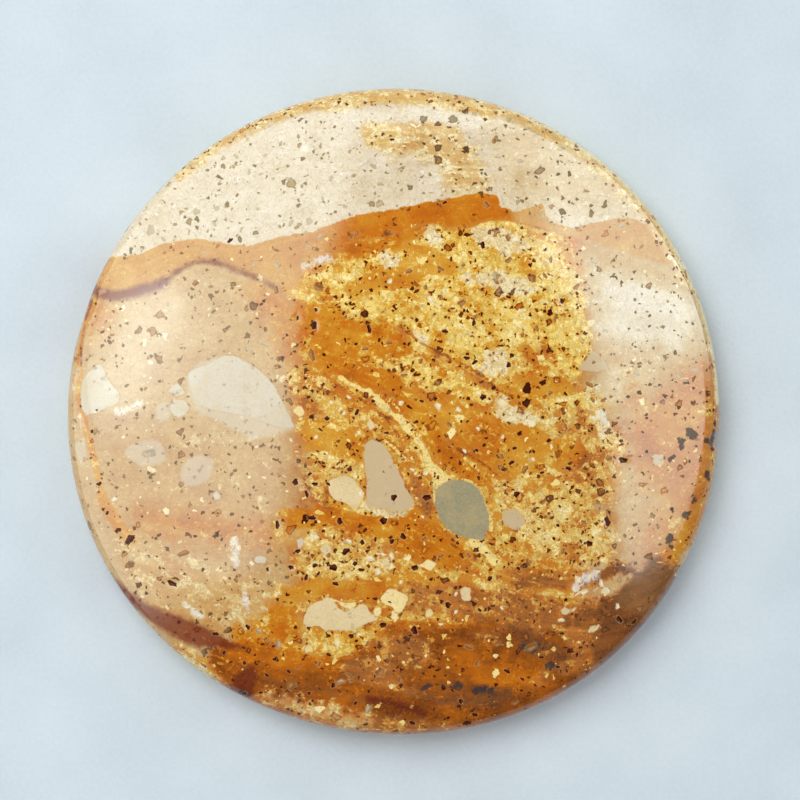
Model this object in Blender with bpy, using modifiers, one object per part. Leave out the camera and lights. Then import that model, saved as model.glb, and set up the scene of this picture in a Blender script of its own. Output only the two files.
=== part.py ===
# Round, low-domed cabochon cut from one piece of banded, brecciated stone.
# Metres, +Z up. The origin is the centre of the flat back, so the stone rests on z = 0.

import math

import bmesh
import bpy

MM = 0.001

# Driving dimensions of the cut stone
MEAN_RADIUS = 22.5 * MM
THICKNESS = 6.0 * MM
DOME_DROP = 2.6 * MM
SHOULDER_RADIUS = 1.5 * MM
BACK_BEVEL = 0.4 * MM

# How far the hand-ground outline leaves a circle: lobes round the edge, height of each
# lobe, and the direction in degrees, anticlockwise from +X, of the first one
OUTLINE_LOBES = (
    (2, 0.10 * MM, -5.0),
    (3, 0.10 * MM, -49.0),
    (4, 0.05 * MM, 34.0),
)

# How finely the curved surfaces are divided
SEGMENTS_AROUND = 96
DOME_RINGS = 12
SHOULDER_RINGS = 6
BACK_RINGS = 3
MERGE_DISTANCE = 0.00001

# The stone's overall colour and polish
STONE_COLOUR = (0.62, 0.36, 0.13, 1.0)
STONE_ROUGHNESS = 0.12


def clear_scene():
    for obj in list(bpy.data.objects):
        bpy.data.objects.remove(obj)


def dome_slope(dome_radius, run):
    """Angle between the dome and the horizontal at a distance run from the axis."""
    return math.asin(run / dome_radius)


def profile_sizes():
    """Radius of the dome's arc, and the run from the axis to where the shoulder starts.

    The shoulder is an arc that leaves the dome on its tangent and ends upright at the
    girdle, so its width depends on the slope that it starts from.
    """
    run = MEAN_RADIUS - SHOULDER_RADIUS
    for _ in range(20):
        dome_radius = (run**2 + DOME_DROP**2) / (2 * DOME_DROP)
        slope = dome_slope(dome_radius, run)
        run = MEAN_RADIUS - SHOULDER_RADIUS * (1 - math.sin(slope))
    return dome_radius, run


def half_profile():
    """(distance from the axis, height) from the apex, over the edge, to the back's centre."""
    dome_radius, run = profile_sizes()
    slope = dome_slope(dome_radius, run)
    points = []
    for i in range(DOME_RINGS + 1):
        angle = slope * i / DOME_RINGS
        points.append(
            (
                dome_radius * math.sin(angle),
                THICKNESS - dome_radius * (1 - math.cos(angle)),
            )
        )

    shoulder_x = MEAN_RADIUS - SHOULDER_RADIUS
    shoulder_z = points[-1][1] - SHOULDER_RADIUS * math.cos(slope)
    for i in range(1, SHOULDER_RINGS + 1):
        angle = slope + (math.pi / 2 - slope) * i / SHOULDER_RINGS
        points.append(
            (
                shoulder_x + SHOULDER_RADIUS * math.sin(angle),
                shoulder_z + SHOULDER_RADIUS * math.cos(angle),
            )
        )

    points.append((MEAN_RADIUS, BACK_BEVEL))
    back_radius = MEAN_RADIUS - BACK_BEVEL
    for i in range(BACK_RINGS + 1):
        points.append((back_radius * (1 - i / BACK_RINGS), 0.0))
    return points


def outline_growth(angle):
    """How much further out than a circle the edge is in this direction, as a share."""
    growth = sum(
        height * math.cos(lobes * (angle - math.radians(first)))
        for lobes, height, first in OUTLINE_LOBES
    )
    return growth / MEAN_RADIUS


def turned_mesh(name, points):
    """The closed mesh that the half profile makes when it is turned about Z."""
    mesh = bpy.data.meshes.new(name + "_profile")
    shape = bmesh.new()
    corners = [shape.verts.new((x, 0, z)) for x, z in points]
    for first, second in zip(corners, corners[1:]):
        shape.edges.new((first, second))
    shape.to_mesh(mesh)
    shape.free()

    turned = bpy.data.objects.new(name + "_turned", mesh)
    bpy.context.scene.collection.objects.link(turned)
    screw = turned.modifiers.new("turn", "SCREW")
    screw.axis = "Z"
    screw.steps = SEGMENTS_AROUND
    screw.render_steps = SEGMENTS_AROUND
    screw.use_merge_vertices = True
    screw.merge_threshold = MERGE_DISTANCE
    graph = bpy.context.evaluated_depsgraph_get()
    result = bpy.data.meshes.new_from_object(turned.evaluated_get(graph))
    bpy.data.objects.remove(turned)
    bpy.data.meshes.remove(mesh)
    return result


def ground_to_outline(mesh):
    """Moves the turned mesh outwards or inwards to the stone's own outline, and centres it."""
    shape = bmesh.new()
    shape.from_mesh(mesh)
    bmesh.ops.remove_doubles(shape, verts=shape.verts, dist=MERGE_DISTANCE)
    bmesh.ops.recalc_face_normals(shape, faces=shape.faces)
    for vert in shape.verts:
        angle = math.atan2(vert.co.y, vert.co.x)
        share = 1 + outline_growth(angle)
        vert.co.x *= share
        vert.co.y *= share
    middle_x = (max(v.co.x for v in shape.verts) + min(v.co.x for v in shape.verts)) / 2
    middle_y = (max(v.co.y for v in shape.verts) + min(v.co.y for v in shape.verts)) / 2
    bmesh.ops.translate(shape, verts=shape.verts, vec=(-middle_x, -middle_y, 0))
    shape.to_mesh(mesh)
    shape.free()


def polished_stone(name):
    material = bpy.data.materials.new(name)
    material.use_nodes = True
    shader = material.node_tree.nodes["Principled BSDF"]
    shader.inputs["Base Color"].default_value = STONE_COLOUR
    shader.inputs["Roughness"].default_value = STONE_ROUGHNESS
    shader.inputs["Metallic"].default_value = 0.0
    return material


def make_cabochon():
    """The stone: a shallow dome with a rolled shoulder, an upright girdle and a flat back."""
    mesh = turned_mesh("cabochon", half_profile())
    ground_to_outline(mesh)
    mesh.name = "cabochon"
    mesh.shade_smooth()
    mesh.set_sharp_from_angle(angle=math.radians(30))
    stone = bpy.data.objects.new("cabochon", mesh)
    stone.data.materials.append(polished_stone("polished_stone"))
    return stone


def main():
    clear_scene()
    group = bpy.data.collections.new("ruin_marble_cabochon")
    bpy.context.scene.collection.children.link(group)
    group.objects.link(make_cabochon())


main()
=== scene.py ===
# %% [markdown]
# # A ruin marble cabochon
# This is one round, low-domed stone, sawn from a block of banded and broken sandstone, then
# ground and polished. The solid made in CAD already has its true size, so it is loaded first
# and kept as a fixed frame: everything below is placed by it, and nothing of it is moved.
# Its box is kept too, because the finished stone has to stay inside it.

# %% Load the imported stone
import math

import bmesh
import bpy
import numpy as np
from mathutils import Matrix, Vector


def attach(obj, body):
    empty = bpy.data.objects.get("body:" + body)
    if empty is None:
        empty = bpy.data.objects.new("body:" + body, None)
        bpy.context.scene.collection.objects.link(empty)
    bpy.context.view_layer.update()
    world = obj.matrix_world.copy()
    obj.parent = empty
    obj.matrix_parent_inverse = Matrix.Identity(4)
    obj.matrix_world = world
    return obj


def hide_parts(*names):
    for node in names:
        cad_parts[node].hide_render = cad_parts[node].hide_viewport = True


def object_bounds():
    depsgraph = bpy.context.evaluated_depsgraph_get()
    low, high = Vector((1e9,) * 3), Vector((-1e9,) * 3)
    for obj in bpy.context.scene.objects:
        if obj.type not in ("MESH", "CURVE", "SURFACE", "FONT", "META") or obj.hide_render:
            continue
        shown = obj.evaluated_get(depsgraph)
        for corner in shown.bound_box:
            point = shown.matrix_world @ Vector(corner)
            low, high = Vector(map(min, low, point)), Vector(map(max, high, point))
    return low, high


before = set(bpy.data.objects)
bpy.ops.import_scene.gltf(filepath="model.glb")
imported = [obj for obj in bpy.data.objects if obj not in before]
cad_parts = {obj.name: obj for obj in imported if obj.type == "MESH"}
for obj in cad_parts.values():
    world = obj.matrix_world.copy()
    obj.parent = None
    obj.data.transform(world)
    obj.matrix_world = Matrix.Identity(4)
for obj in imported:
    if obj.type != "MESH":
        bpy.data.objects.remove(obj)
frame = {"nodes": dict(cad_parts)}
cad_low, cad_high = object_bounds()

print("CAD nodes:", ", ".join(frame["nodes"]))

# %% [markdown]
# ## The sizes of the cut
# A stone cutter thinks of a cabochon as a dome, a rolled shoulder, an upright girdle and a
# small bevel round the flat back. The same few sizes as in CAD are named here, in metres,
# so that a finer mesh of exactly the same stone can be made. The shoulder starts where it
# leaves the dome on its tangent, and a short loop finds that place.

# %% Sizes of the stone
MM = 0.001
MEAN_RADIUS = 22.5 * MM
THICKNESS = 6.0 * MM
DOME_DROP = 2.6 * MM
SHOULDER_RADIUS = 1.5 * MM
BACK_BEVEL = 0.4 * MM
# How far the hand-ground edge leaves a circle: lobes round the edge, height of each lobe,
# and the direction of the first one in degrees, anticlockwise from +X
OUTLINE_LOBES = ((2, 0.10 * MM, -5.0), (3, 0.10 * MM, -49.0), (4, 0.05 * MM, 34.0))


def cut_profile():
    """Radius of the dome's arc, and its slope in radians where the shoulder starts."""
    run = MEAN_RADIUS - SHOULDER_RADIUS
    for _ in range(20):
        dome_radius = (run**2 + DOME_DROP**2) / (2 * DOME_DROP)
        slope = math.asin(run / dome_radius)
        run = MEAN_RADIUS - SHOULDER_RADIUS * (1 - math.sin(slope))
    return dome_radius, slope


DOME_RADIUS, DOME_SLOPE = cut_profile()
SHOULDER_FOOT = THICKNESS - DOME_DROP - SHOULDER_RADIUS * math.cos(DOME_SLOPE)
print(f"dome radius {DOME_RADIUS / MM:.1f} mm, slope at the shoulder {math.degrees(DOME_SLOPE):.1f} degrees")

# %% [markdown]
# ## Small helpers for node trees
# Geometry nodes and materials are both trees of nodes, and writing them out link by link
# hides what they do. These helpers turn one node into one call, so that the trees below
# read like the formulas they are.

# %% Node helpers


def feed(tree, socket, value):
    """Puts a number, a vector, a colour or another node's output into a socket."""
    if isinstance(value, bpy.types.NodeSocket):
        tree.links.new(value, socket)
    else:
        socket.default_value = value


def calc(tree, operation, *values, clamp=False):
    """One Math node."""
    node = tree.nodes.new("ShaderNodeMath")
    node.operation = operation
    node.use_clamp = clamp
    for socket, value in zip(node.inputs, values):
        feed(tree, socket, value)
    return node.outputs[0]


def times(tree, first, second):
    """The product of two numbers or outputs."""
    return calc(tree, "MULTIPLY", first, second)


def total(tree, first, *others):
    """The sum of several numbers or outputs."""
    for other in others:
        first = calc(tree, "ADD", first, other)
    return first


def arrow(tree, operation, *values):
    """One Vector Math node."""
    node = tree.nodes.new("ShaderNodeVectorMath")
    node.operation = operation
    for socket, value in zip(node.inputs, values):
        feed(tree, socket, value)
    return node.outputs[1 if operation in ("LENGTH", "DISTANCE", "DOT_PRODUCT") else 0]


def parts_of(tree, vector):
    """X, Y and Z of a vector."""
    node = tree.nodes.new("ShaderNodeSeparateXYZ")
    feed(tree, node.inputs[0], vector)
    return node.outputs


def vector_of(tree, x, y, z):
    """A vector from three numbers or outputs."""
    node = tree.nodes.new("ShaderNodeCombineXYZ")
    for socket, value in zip(node.inputs, (x, y, z)):
        feed(tree, socket, value)
    return node.outputs[0]


# %% [markdown]
# ## The cut stone as a Geometry Nodes tree
# The real stone is one solid whose shape follows a rule, so a tree can make it. A ball or a
# turned profile would crowd its points at the middle. Instead a square grid is bent into a
# disc, square ring by square ring, which spaces the points evenly, and each ring is then
# slid down the profile: over the dome, round the shoulder, down the girdle and under the
# bevel. The back is a second, coarser grid, because little happens there.

# %% Build the tree
TOP_CELLS = 276
BACK_CELLS = 138
TREE_SIZES = {
    "Mean Radius": MEAN_RADIUS,
    "Thickness": THICKNESS,
    "Dome Radius": DOME_RADIUS,
    "Dome Slope": DOME_SLOPE,
    "Shoulder Radius": SHOULDER_RADIUS,
    "Wall Height": SHOULDER_FOOT - BACK_BEVEL,
    "Back Bevel": BACK_BEVEL,
}


def disc_rings(tree):
    """How far out each grid point's ring is (0 to 1), its direction, and the lobed growth there."""
    place = tree.nodes.new("GeometryNodeInputPosition").outputs[0]
    across = parts_of(tree, arrow(tree, "ABSOLUTE", place))
    ring = calc(tree, "MAXIMUM", across["X"], across["Y"])
    on_square = arrow(tree, "DIVIDE", place, vector_of(tree, ring, ring, 1.0))
    bent = arrow(tree, "TANGENT", arrow(tree, "MULTIPLY", on_square, (math.pi / 4, math.pi / 4, 0)))
    aim = arrow(tree, "NORMALIZE", bent)
    way = parts_of(tree, aim)
    angle = calc(tree, "ARCTAN2", way["Y"], way["X"])
    growth = 1.0
    for lobes, height, first in OUTLINE_LOBES:
        turn = calc(tree, "MULTIPLY_ADD", angle, lobes, -lobes * math.radians(first))
        wave = times(tree, calc(tree, "COSINE", turn), height / MEAN_RADIUS)
        growth = calc(tree, "ADD", wave, growth)
    return ring, aim, growth


def between(tree, value, start, length):
    """How much of a stretch of the profile lies before this point: 0 up to its length."""
    past = calc(tree, "MAXIMUM", calc(tree, "SUBTRACT", value, start), 0.0)
    return calc(tree, "MINIMUM", past, length)


def profile_point(tree, ring, size):
    """Distance from the axis and height of a ring, walked along the profile from the apex."""
    dome_length = times(tree, size["Dome Radius"], size["Dome Slope"])
    quarter_left = calc(tree, "SUBTRACT", math.pi / 2, size["Dome Slope"])
    roll_length = times(tree, quarter_left, size["Shoulder Radius"])
    bevel_length = times(tree, size["Back Bevel"], math.sqrt(2))
    wall_start = total(tree, dome_length, roll_length)
    bevel_start = total(tree, wall_start, size["Wall Height"])
    walked = times(tree, ring, total(tree, bevel_start, bevel_length))

    dome_turn = calc(tree, "DIVIDE", calc(tree, "MINIMUM", walked, dome_length), size["Dome Radius"])
    roll = calc(tree, "DIVIDE", between(tree, walked, dome_length, roll_length), size["Shoulder Radius"])
    shoulder_turn = calc(tree, "ADD", roll, size["Dome Slope"])
    wall = between(tree, walked, wall_start, size["Wall Height"])
    bevel = calc(tree, "DIVIDE", between(tree, walked, bevel_start, bevel_length), math.sqrt(2))

    def rolled(operation):
        change = calc(
            tree, "SUBTRACT",
            calc(tree, operation, shoulder_turn), calc(tree, operation, size["Dome Slope"]),
        )
        return times(tree, change, size["Shoulder Radius"])

    out_on_dome = times(tree, calc(tree, "SINE", dome_turn), size["Dome Radius"])
    out = calc(tree, "SUBTRACT", total(tree, out_on_dome, rolled("SINE")), bevel)
    level = calc(tree, "SUBTRACT", calc(tree, "COSINE", dome_turn), 1.0)
    up_on_dome = calc(tree, "MULTIPLY_ADD", level, size["Dome Radius"], size["Thickness"])
    lowered = calc(tree, "SUBTRACT", total(tree, up_on_dome, rolled("COSINE")), wall)
    return out, calc(tree, "SUBTRACT", lowered, bevel)


def placed(tree, grid, aim, out, height):
    """The grid with its points at a distance from the axis, a direction and a height."""
    move = tree.nodes.new("GeometryNodeSetPosition")
    way = parts_of(tree, aim)
    x = times(tree, way["X"], out)
    y = times(tree, way["Y"], out)
    feed(tree, move.inputs["Geometry"], grid)
    feed(tree, move.inputs["Position"], vector_of(tree, x, y, height))
    return move.outputs[0]


def square_grid(tree, cells):
    """A flat grid from -1 to 1 both ways, with this many cells along each side."""
    grid = tree.nodes.new("GeometryNodeMeshGrid")
    grid.inputs["Size X"].default_value = 2.0
    grid.inputs["Size Y"].default_value = 2.0
    for side in ("Vertices X", "Vertices Y"):
        feed(tree, grid.inputs[side], calc(tree, "ADD", cells, 1.0))
    return grid.outputs["Mesh"]


def cut_stone_tree():
    """Domed top with shoulder, girdle and bevel, and a flat back, as one geometry."""
    tree = bpy.data.node_groups.new("cut_stone", "GeometryNodeTree")
    tree.interface.new_socket("Geometry", in_out="OUTPUT", socket_type="NodeSocketGeometry")
    tree.interface.new_socket("Finish", in_out="INPUT", socket_type="NodeSocketMaterial")
    for name in ("Top Cells", "Back Cells"):
        tree.interface.new_socket(name, in_out="INPUT", socket_type="NodeSocketInt")
    for name in TREE_SIZES:
        tree.interface.new_socket(name, in_out="INPUT", socket_type="NodeSocketFloat")
    size = tree.nodes.new("NodeGroupInput").outputs

    ring, aim, growth = disc_rings(tree)
    out, height = profile_point(tree, ring, size)
    out = times(tree, out, growth)
    top = placed(tree, square_grid(tree, size["Top Cells"]), aim, out, height)

    back_radius = calc(tree, "SUBTRACT", size["Mean Radius"], size["Back Bevel"])
    back_out = times(tree, times(tree, ring, back_radius), growth)
    back = placed(tree, square_grid(tree, size["Back Cells"]), aim, back_out, 0.0)
    turned = tree.nodes.new("GeometryNodeFlipFaces")
    feed(tree, turned.inputs["Mesh"], back)

    joined = tree.nodes.new("GeometryNodeJoinGeometry")
    tree.links.new(top, joined.inputs[0])
    tree.links.new(turned.outputs[0], joined.inputs[0])
    real = tree.nodes.new("GeometryNodeRealizeInstances")
    feed(tree, real.inputs["Geometry"], joined.outputs[0])
    finish = tree.nodes.new("GeometryNodeSetMaterial")
    feed(tree, finish.inputs["Geometry"], real.outputs[0])
    feed(tree, finish.inputs["Material"], size["Finish"])
    feed(tree, tree.nodes.new("NodeGroupOutput").inputs[0], finish.outputs[0])
    return tree


print("tree nodes:", len(cut_stone_tree().nodes))

# %% [markdown]
# ## From tree to plain mesh
# The tree's result is made a plain mesh, so that it can be exported and carry data of its
# own. The back has one point for every two at the edge of the top, so each back edge leaves
# a thin three-sided gap, which is filled. The mesh is then centred on the CAD box and kept
# from growing past it.

# %% Make the stone's mesh
WELD = 0.002 * MM


def plain_mesh(tree, finish):
    """Runs the tree on an empty object and returns the result as a mesh."""
    holder = bpy.data.objects.new("cutting_holder", bpy.data.meshes.new("cutting_holder"))
    bpy.context.scene.collection.objects.link(holder)
    cut = holder.modifiers.new("cut", "NODES")
    cut.node_group = tree
    values = {"Finish": finish, "Top Cells": TOP_CELLS, "Back Cells": BACK_CELLS, **TREE_SIZES}
    for socket in tree.interface.items_tree:
        if socket.in_out == "INPUT":
            cut[socket.identifier] = values[socket.name]
    graph = bpy.context.evaluated_depsgraph_get()
    mesh = bpy.data.meshes.new_from_object(holder.evaluated_get(graph))
    holder.modifiers.remove(cut)
    bpy.data.objects.remove(holder)
    return mesh


def close_seam(mesh):
    """Welds the back to the bevel and fills the thin gaps between unequal edges."""
    shape = bmesh.new()
    shape.from_mesh(mesh)
    bmesh.ops.remove_doubles(shape, verts=shape.verts, dist=WELD)
    gaps = [edge for edge in shape.edges if edge.is_boundary]
    bmesh.ops.holes_fill(shape, edges=gaps, sides=3)
    bmesh.ops.recalc_face_normals(shape, faces=shape.faces)
    open_edges = sum(not edge.is_manifold for edge in shape.edges)
    shape.to_mesh(mesh)
    shape.free()
    return open_edges


def points_of(mesh):
    """The mesh points as rows of x, y and z in metres."""
    points = np.empty(len(mesh.vertices) * 3, np.float32)
    mesh.vertices.foreach_get("co", points)
    return points.reshape(-1, 3).astype(float)


def move_points(mesh, points):
    """Puts the mesh points at new places, given as rows of x, y and z."""
    mesh.vertices.foreach_set("co", points.astype(np.float32).ravel())
    mesh.update()


def fit_to_cad(mesh):
    """Centres the mesh on the CAD box, and draws it in where it would stand proud of it."""
    points = points_of(mesh)
    low, high = points.min(axis=0), points.max(axis=0)
    cad_size = np.array(cad_high - cad_low)
    share = np.minimum(cad_size / (high - low), 1.0)
    share[2] = 1.0
    middle = (low + high) / 2
    middle[2] = 0.0
    move_points(mesh, (points - middle) * share + np.array((*((cad_low + cad_high) / 2).xy, 0.0)))


stone_finish = bpy.data.materials.new("polished_banded_stone")
stone_mesh = plain_mesh(bpy.data.node_groups["cut_stone"], stone_finish)
open_edges = close_seam(stone_mesh)
fit_to_cad(stone_mesh)
stone_mesh.name = "polished_cabochon"
triangles = sum(len(face.vertices) - 2 for face in stone_mesh.polygons)
print(f"{len(stone_mesh.vertices)} points, {triangles} triangles, {open_edges} open edges")

# %% [markdown]
# ## Reading places off the photograph
# The markings are placed by where they show in the photograph, which looks straight down.
# One pixel is about 0.07 mm on the stone, so a place in the picture becomes a place on the
# stone by one shift and one scale. Below the shoulder nothing was seen, so there the beds
# are carried on through the stone at a slant, as real beds dip.

# %% From photo pixels to the stone
PHOTO_MIDDLE = np.array((393.5, 411.5))
PHOTO_ACROSS = 651.0
MM_PER_PIXEL = (cad_high.x - cad_low.x) / MM / PHOTO_ACROSS
DIP_PER_DEPTH = np.array((-0.35, 0.5))
# Mesh points this close to the face, in millimetres, count as lying on it
FACE_SKIN = 0.05


def on_stone(pixels):
    """Photo pixels as x and y in millimetres from the middle of the stone, y up."""
    flat = np.array(pixels, float).reshape(-1, 2)
    return (flat - PHOTO_MIDDLE) * (MM_PER_PIXEL, -MM_PER_PIXEL)


def surface_height(out):
    """Height of the polished face, in mm, at distances from the axis in mm."""
    dome = DOME_RADIUS / MM
    on_dome = THICKNESS / MM - dome + np.sqrt(dome**2 - np.minimum(out, MEAN_RADIUS / MM) ** 2)
    roll = SHOULDER_RADIUS / MM
    beyond = np.clip(out - (MEAN_RADIUS / MM - roll), 0, roll)
    on_shoulder = SHOULDER_FOOT / MM + np.sqrt(roll**2 - beyond**2)
    shoulder_start = DOME_RADIUS / MM * math.sin(DOME_SLOPE)
    return np.where(out < shoulder_start, on_dome, on_shoulder)


points = points_of(stone_mesh) / MM
depth = surface_height(np.hypot(points[:, 0], points[:, 1])) - points[:, 2]
depth = np.maximum(depth - FACE_SKIN, 0.0)
spots = points[:, :2] - depth[:, None] * DIP_PER_DEPTH
print(f"1 pixel is {MM_PER_PIXEL:.4f} mm, deepest point {depth.max():.2f} mm below the face")

# %% [markdown]
# ## Outlines and distances
# Each marking is a patch with an outline or a stroke along a line. For every point of the
# mesh the distance to its edge is worked out, in millimetres, positive inside. A material
# can cut that distance at zero for a sharp edge, fade it for a soft one, and add noise to
# make it ragged, which a painted picture could not do.

# %% Distance helpers


def rounded(corners, closed=True, steps=4):
    """A smooth curve through the corners (Catmull-Rom), as more points."""
    corners = on_stone(corners)
    if closed:
        before, after, later = (np.roll(corners, shift, axis=0) for shift in (1, -1, -2))
        starts = corners
    else:
        padded = np.vstack((corners[:1], corners, corners[-1:]))
        before, starts, after, later = (padded[i : len(padded) - 3 + i] for i in range(4))
    curve = []
    for share in np.arange(steps) / steps:
        curve.append(
            0.5 * (
                2 * starts + (after - before) * share
                + (2 * before - 5 * starts + 4 * after - later) * share**2
                + (3 * starts - before - 3 * after + later) * share**3
            )
        )
    line = np.stack(curve, axis=1).reshape(-1, 2)
    return line if closed else np.vstack((line, corners[-1:]))


def within(line, reach):
    """Which mesh points lie in the line's box, grown by this reach."""
    return np.all((spots > line.min(axis=0) - reach) & (spots < line.max(axis=0) + reach), axis=1)


def gap_to_line(line, closed=False, reach=3.0):
    """Distance in mm from every mesh point to a line of straight stretches, up to this reach."""
    near = within(line, reach)
    places = spots[near]
    best = np.full(len(places), reach)
    ends = np.roll(line, -1, axis=0) if closed else line[1:]
    for start, end in zip(line, ends):
        along = end - start
        share = np.clip((places - start) @ along / (along @ along), 0, 1)
        gap = places - start - share[:, None] * along
        best = np.minimum(best, np.hypot(gap[:, 0], gap[:, 1]))
    answer = np.full(len(spots), reach)
    answer[near] = best
    return answer


def patch(*corners, smooth=True):
    """Distance to the edge of a closed outline, positive inside."""
    line = rounded(corners) if smooth else on_stone(corners)
    near = within(line, 0.0)
    x, y = spots[near].T
    odd = np.zeros(len(x), bool)
    for start, end in zip(line, np.roll(line, -1, axis=0)):
        if start[1] == end[1]:
            continue
        crosses = (start[1] > y) != (end[1] > y)
        odd ^= crosses & (x < start[0] + (y - start[1]) * (end[0] - start[0]) / (end[1] - start[1]))
    inside = np.zeros(len(spots), bool)
    inside[near] = odd
    gap = gap_to_line(line, closed=True)
    return np.where(inside, gap, -gap)


def stroke(width, *places):
    """Distance to the edge of a stroke of this width in pixels, positive inside."""
    return width * MM_PER_PIXEL / 2 - gap_to_line(rounded(places, closed=False))


def store(name, values):
    """Keeps one number for each mesh point under a name that the material reads."""
    layer = stone_mesh.attributes.new(name, "FLOAT", "POINT")
    layer.data.foreach_set("value", values.astype(np.float32))


def mark(name, *shapes):
    """Stores several shapes together as one marking."""
    merged = np.max(shapes, axis=0)
    store(name, merged)
    print(f"{name}: {len(shapes)} shapes, {np.mean(merged > 0):.1%} of the points")


# %% [markdown]
# ## The beds
# The stone was laid down in beds, which rise, dip and bend across the face. A few guide
# lines follow them, each with its level. Between two neighbouring guides the level runs
# smoothly from one to the other, so that streaks drawn by this number follow the beds.

# %% Guide lines of the beds
BED_GUIDES = (
    (-12.0, ((60, 110), (300, 85), (500, 85), (740, 120))),
    (-6.0, ((60, 190), (200, 160), (400, 160), (600, 175), (740, 205))),
    (0.0, ((60, 268), (112, 259), (194, 241), (251, 249), (342, 223), (400, 210), (495, 200),
           (552, 225), (640, 220), (740, 250))),
    (5.0, ((60, 310), (147, 290), (199, 266), (280, 290), (345, 318), (405, 335), (480, 384),
           (560, 372), (640, 375), (740, 400))),
    (9.0, ((60, 400), (200, 385), (300, 378), (351, 385), (403, 420), (440, 476), (490, 545),
           (560, 575), (640, 560), (740, 500))),
    (13.0, ((60, 480), (110, 505), (200, 515), (300, 518), (400, 535), (470, 575), (560, 612),
            (650, 598), (740, 540))),
    (18.0, ((60, 550), (117, 577), (180, 610), (240, 648), (330, 665), (420, 660), (500, 652),
            (580, 662), (740, 620))),
    (22.0, ((60, 620), (160, 650), (240, 695), (330, 722), (440, 738), (540, 722), (740, 660))),
)
# A distance in millimetres that no two places on the stone are apart
PAST_THE_STONE = 60.0


def bed_levels():
    """The level of the bed at each mesh point, in mm down from the band's upper edge."""
    levels = [level for level, _ in BED_GUIDES]
    gaps = [gap_to_line(rounded(line, closed=False), reach=PAST_THE_STONE)
            for _, line in BED_GUIDES]
    closest = np.full(len(spots), np.inf)
    answer = np.zeros(len(spots))
    for upper in range(len(levels) - 1):
        both = gaps[upper] + gaps[upper + 1]
        here = (gaps[upper + 1] * levels[upper] + gaps[upper] * levels[upper + 1]) / both
        nearer = both < closest
        answer[nearer] = here[nearer]
        closest = np.minimum(closest, both)
    return answer


store("bed", bed_levels())
print("beds between guides:", len(BED_GUIDES))

# %% [markdown]
# ## The pale field and the iron band
# The top third is pale, sandy stone that ends at a crisp, wavy edge. Iron left an orange
# band along it, thin in the middle and wider to both sides. Both share one edge, so that
# line is written once and used for both outlines.

# %% Pale field and band
BAND_TOP = (
    (60, 268), (95, 261), (112, 259), (142, 256), (164, 246), (194, 241), (220, 244), (251, 249),
    (277, 241), (316, 234), (342, 224), (363, 217), (400, 212), (425, 206), (450, 202), (480, 196),
    (495, 199), (500, 210), (513, 215), (530, 210), (540, 207), (544, 219), (552, 225), (571, 232),
    (584, 227), (606, 221), (626, 219), (640, 225), (658, 227), (740, 240),
)
BAND_FOOT = (
    (740, 288), (700, 278), (656, 264), (638, 259), (617, 253), (595, 246), (573, 241), (556, 236),
    (541, 231), (521, 227), (502, 223), (487, 224), (472, 228), (454, 232), (432, 226), (419, 229),
    (400, 235), (380, 240), (359, 243), (344, 250), (333, 262), (310, 270), (300, 287), (280, 290),
    (259, 282), (242, 275), (220, 266), (199, 267), (181, 274), (168, 284), (147, 290), (114, 299),
    (96, 293), (60, 300),
)
mark("pale_field", patch(*BAND_TOP, (780, 60), (400, 20), (20, 60), smooth=False))
BAND_UNDER_FIELD = tuple((x, y - 14) for x, y in BAND_TOP)
mark("iron_band", patch(*BAND_UNDER_FIELD, *BAND_FOOT))

# %% [markdown]
# ## Soft washes of colour
# Below the band, water carried iron through the sand and stained it unevenly. The stains
# have no clear edge, so they are large, loose patches that the material fades and roughens.
# Rust, ember and russet are rich in iron, and umber, bister and smoke are darker still.
# Straw, gravel and dune are packed with pale grains, and amber is the clear golden cement
# between them. Cream, fawn and rose are paler and calmer, and foot is the brown ground at the
# bottom. Chalk is a whitish patch at the right, partly the stone's own pale colour and partly
# a painted reflection of the bright room. Olive and blush tint the pale field, and gilt is a
# lighter yellow along the upper edge. Rim is painted light: a thin, near-white line just
# inside the upper right edge, where the edge is lit.

# %% Washes
mark(
    "amber",
    stroke(5, (500, 214), (524, 212), (548, 222), (562, 236)),
    stroke(5, (520, 238), (544, 242), (568, 262)),
    patch((404, 392), (430, 394), (466, 402), (500, 418), (536, 430), (552, 450), (520, 474), (486, 470),
          (452, 444), (424, 412)),
    patch((546, 440), (580, 446), (572, 462), (548, 466)),
    patch((512, 380), (530, 376), (548, 380), (574, 388), (560, 394), (545, 400), (520, 403), (504, 394),
          (498, 386)),
    stroke(9, (520, 350), (532, 358), (540, 370)),
    patch((300, 424), (330, 416), (352, 428), (366, 440), (360, 460), (330, 452), (304, 446)),
    patch((283, 585), (312, 576), (345, 578), (380, 574), (410, 568), (440, 572), (438, 582), (402, 582),
          (385, 592), (370, 600), (345, 594), (312, 592), (290, 602)),
    patch((676, 480), (704, 470), (712, 500), (694, 540), (668, 566), (656, 556), (670, 530)),
    patch((402, 246), (440, 256), (456, 272), (430, 280), (396, 290), (356, 300), (346, 288), (380, 270)),
)
mark(
    "straw",
    patch((284, 284), (318, 276), (345, 262), (362, 252), (386, 252), (400, 250), (420, 240), (470, 228),
          (505, 222), (540, 238), (560, 252), (576, 286), (586, 320), (590, 352), (570, 376), (554, 370),
          (545, 348), (516, 342), (511, 360), (500, 374), (486, 382), (464, 376), (440, 364), (414, 352),
          (402, 332), (386, 322), (372, 320), (364, 313), (358, 320), (346, 313), (332, 302), (300, 302)),
    patch((400, 352), (425, 362), (455, 372), (484, 390), (500, 400), (486, 404), (466, 400), (444, 392),
          (422, 384), (410, 370)),
    patch((520, 386), (536, 384), (552, 392), (568, 396), (600, 384), (620, 392), (614, 410), (580, 410),
          (548, 402)),
    patch((320, 628), (344, 630), (370, 626), (376, 636), (364, 644), (340, 648)),
    patch((180, 646), (206, 652), (220, 664), (214, 690), (196, 680), (184, 664)),
    patch((330, 498), (366, 498), (412, 504), (408, 514), (378, 514), (340, 508)),
)
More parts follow.
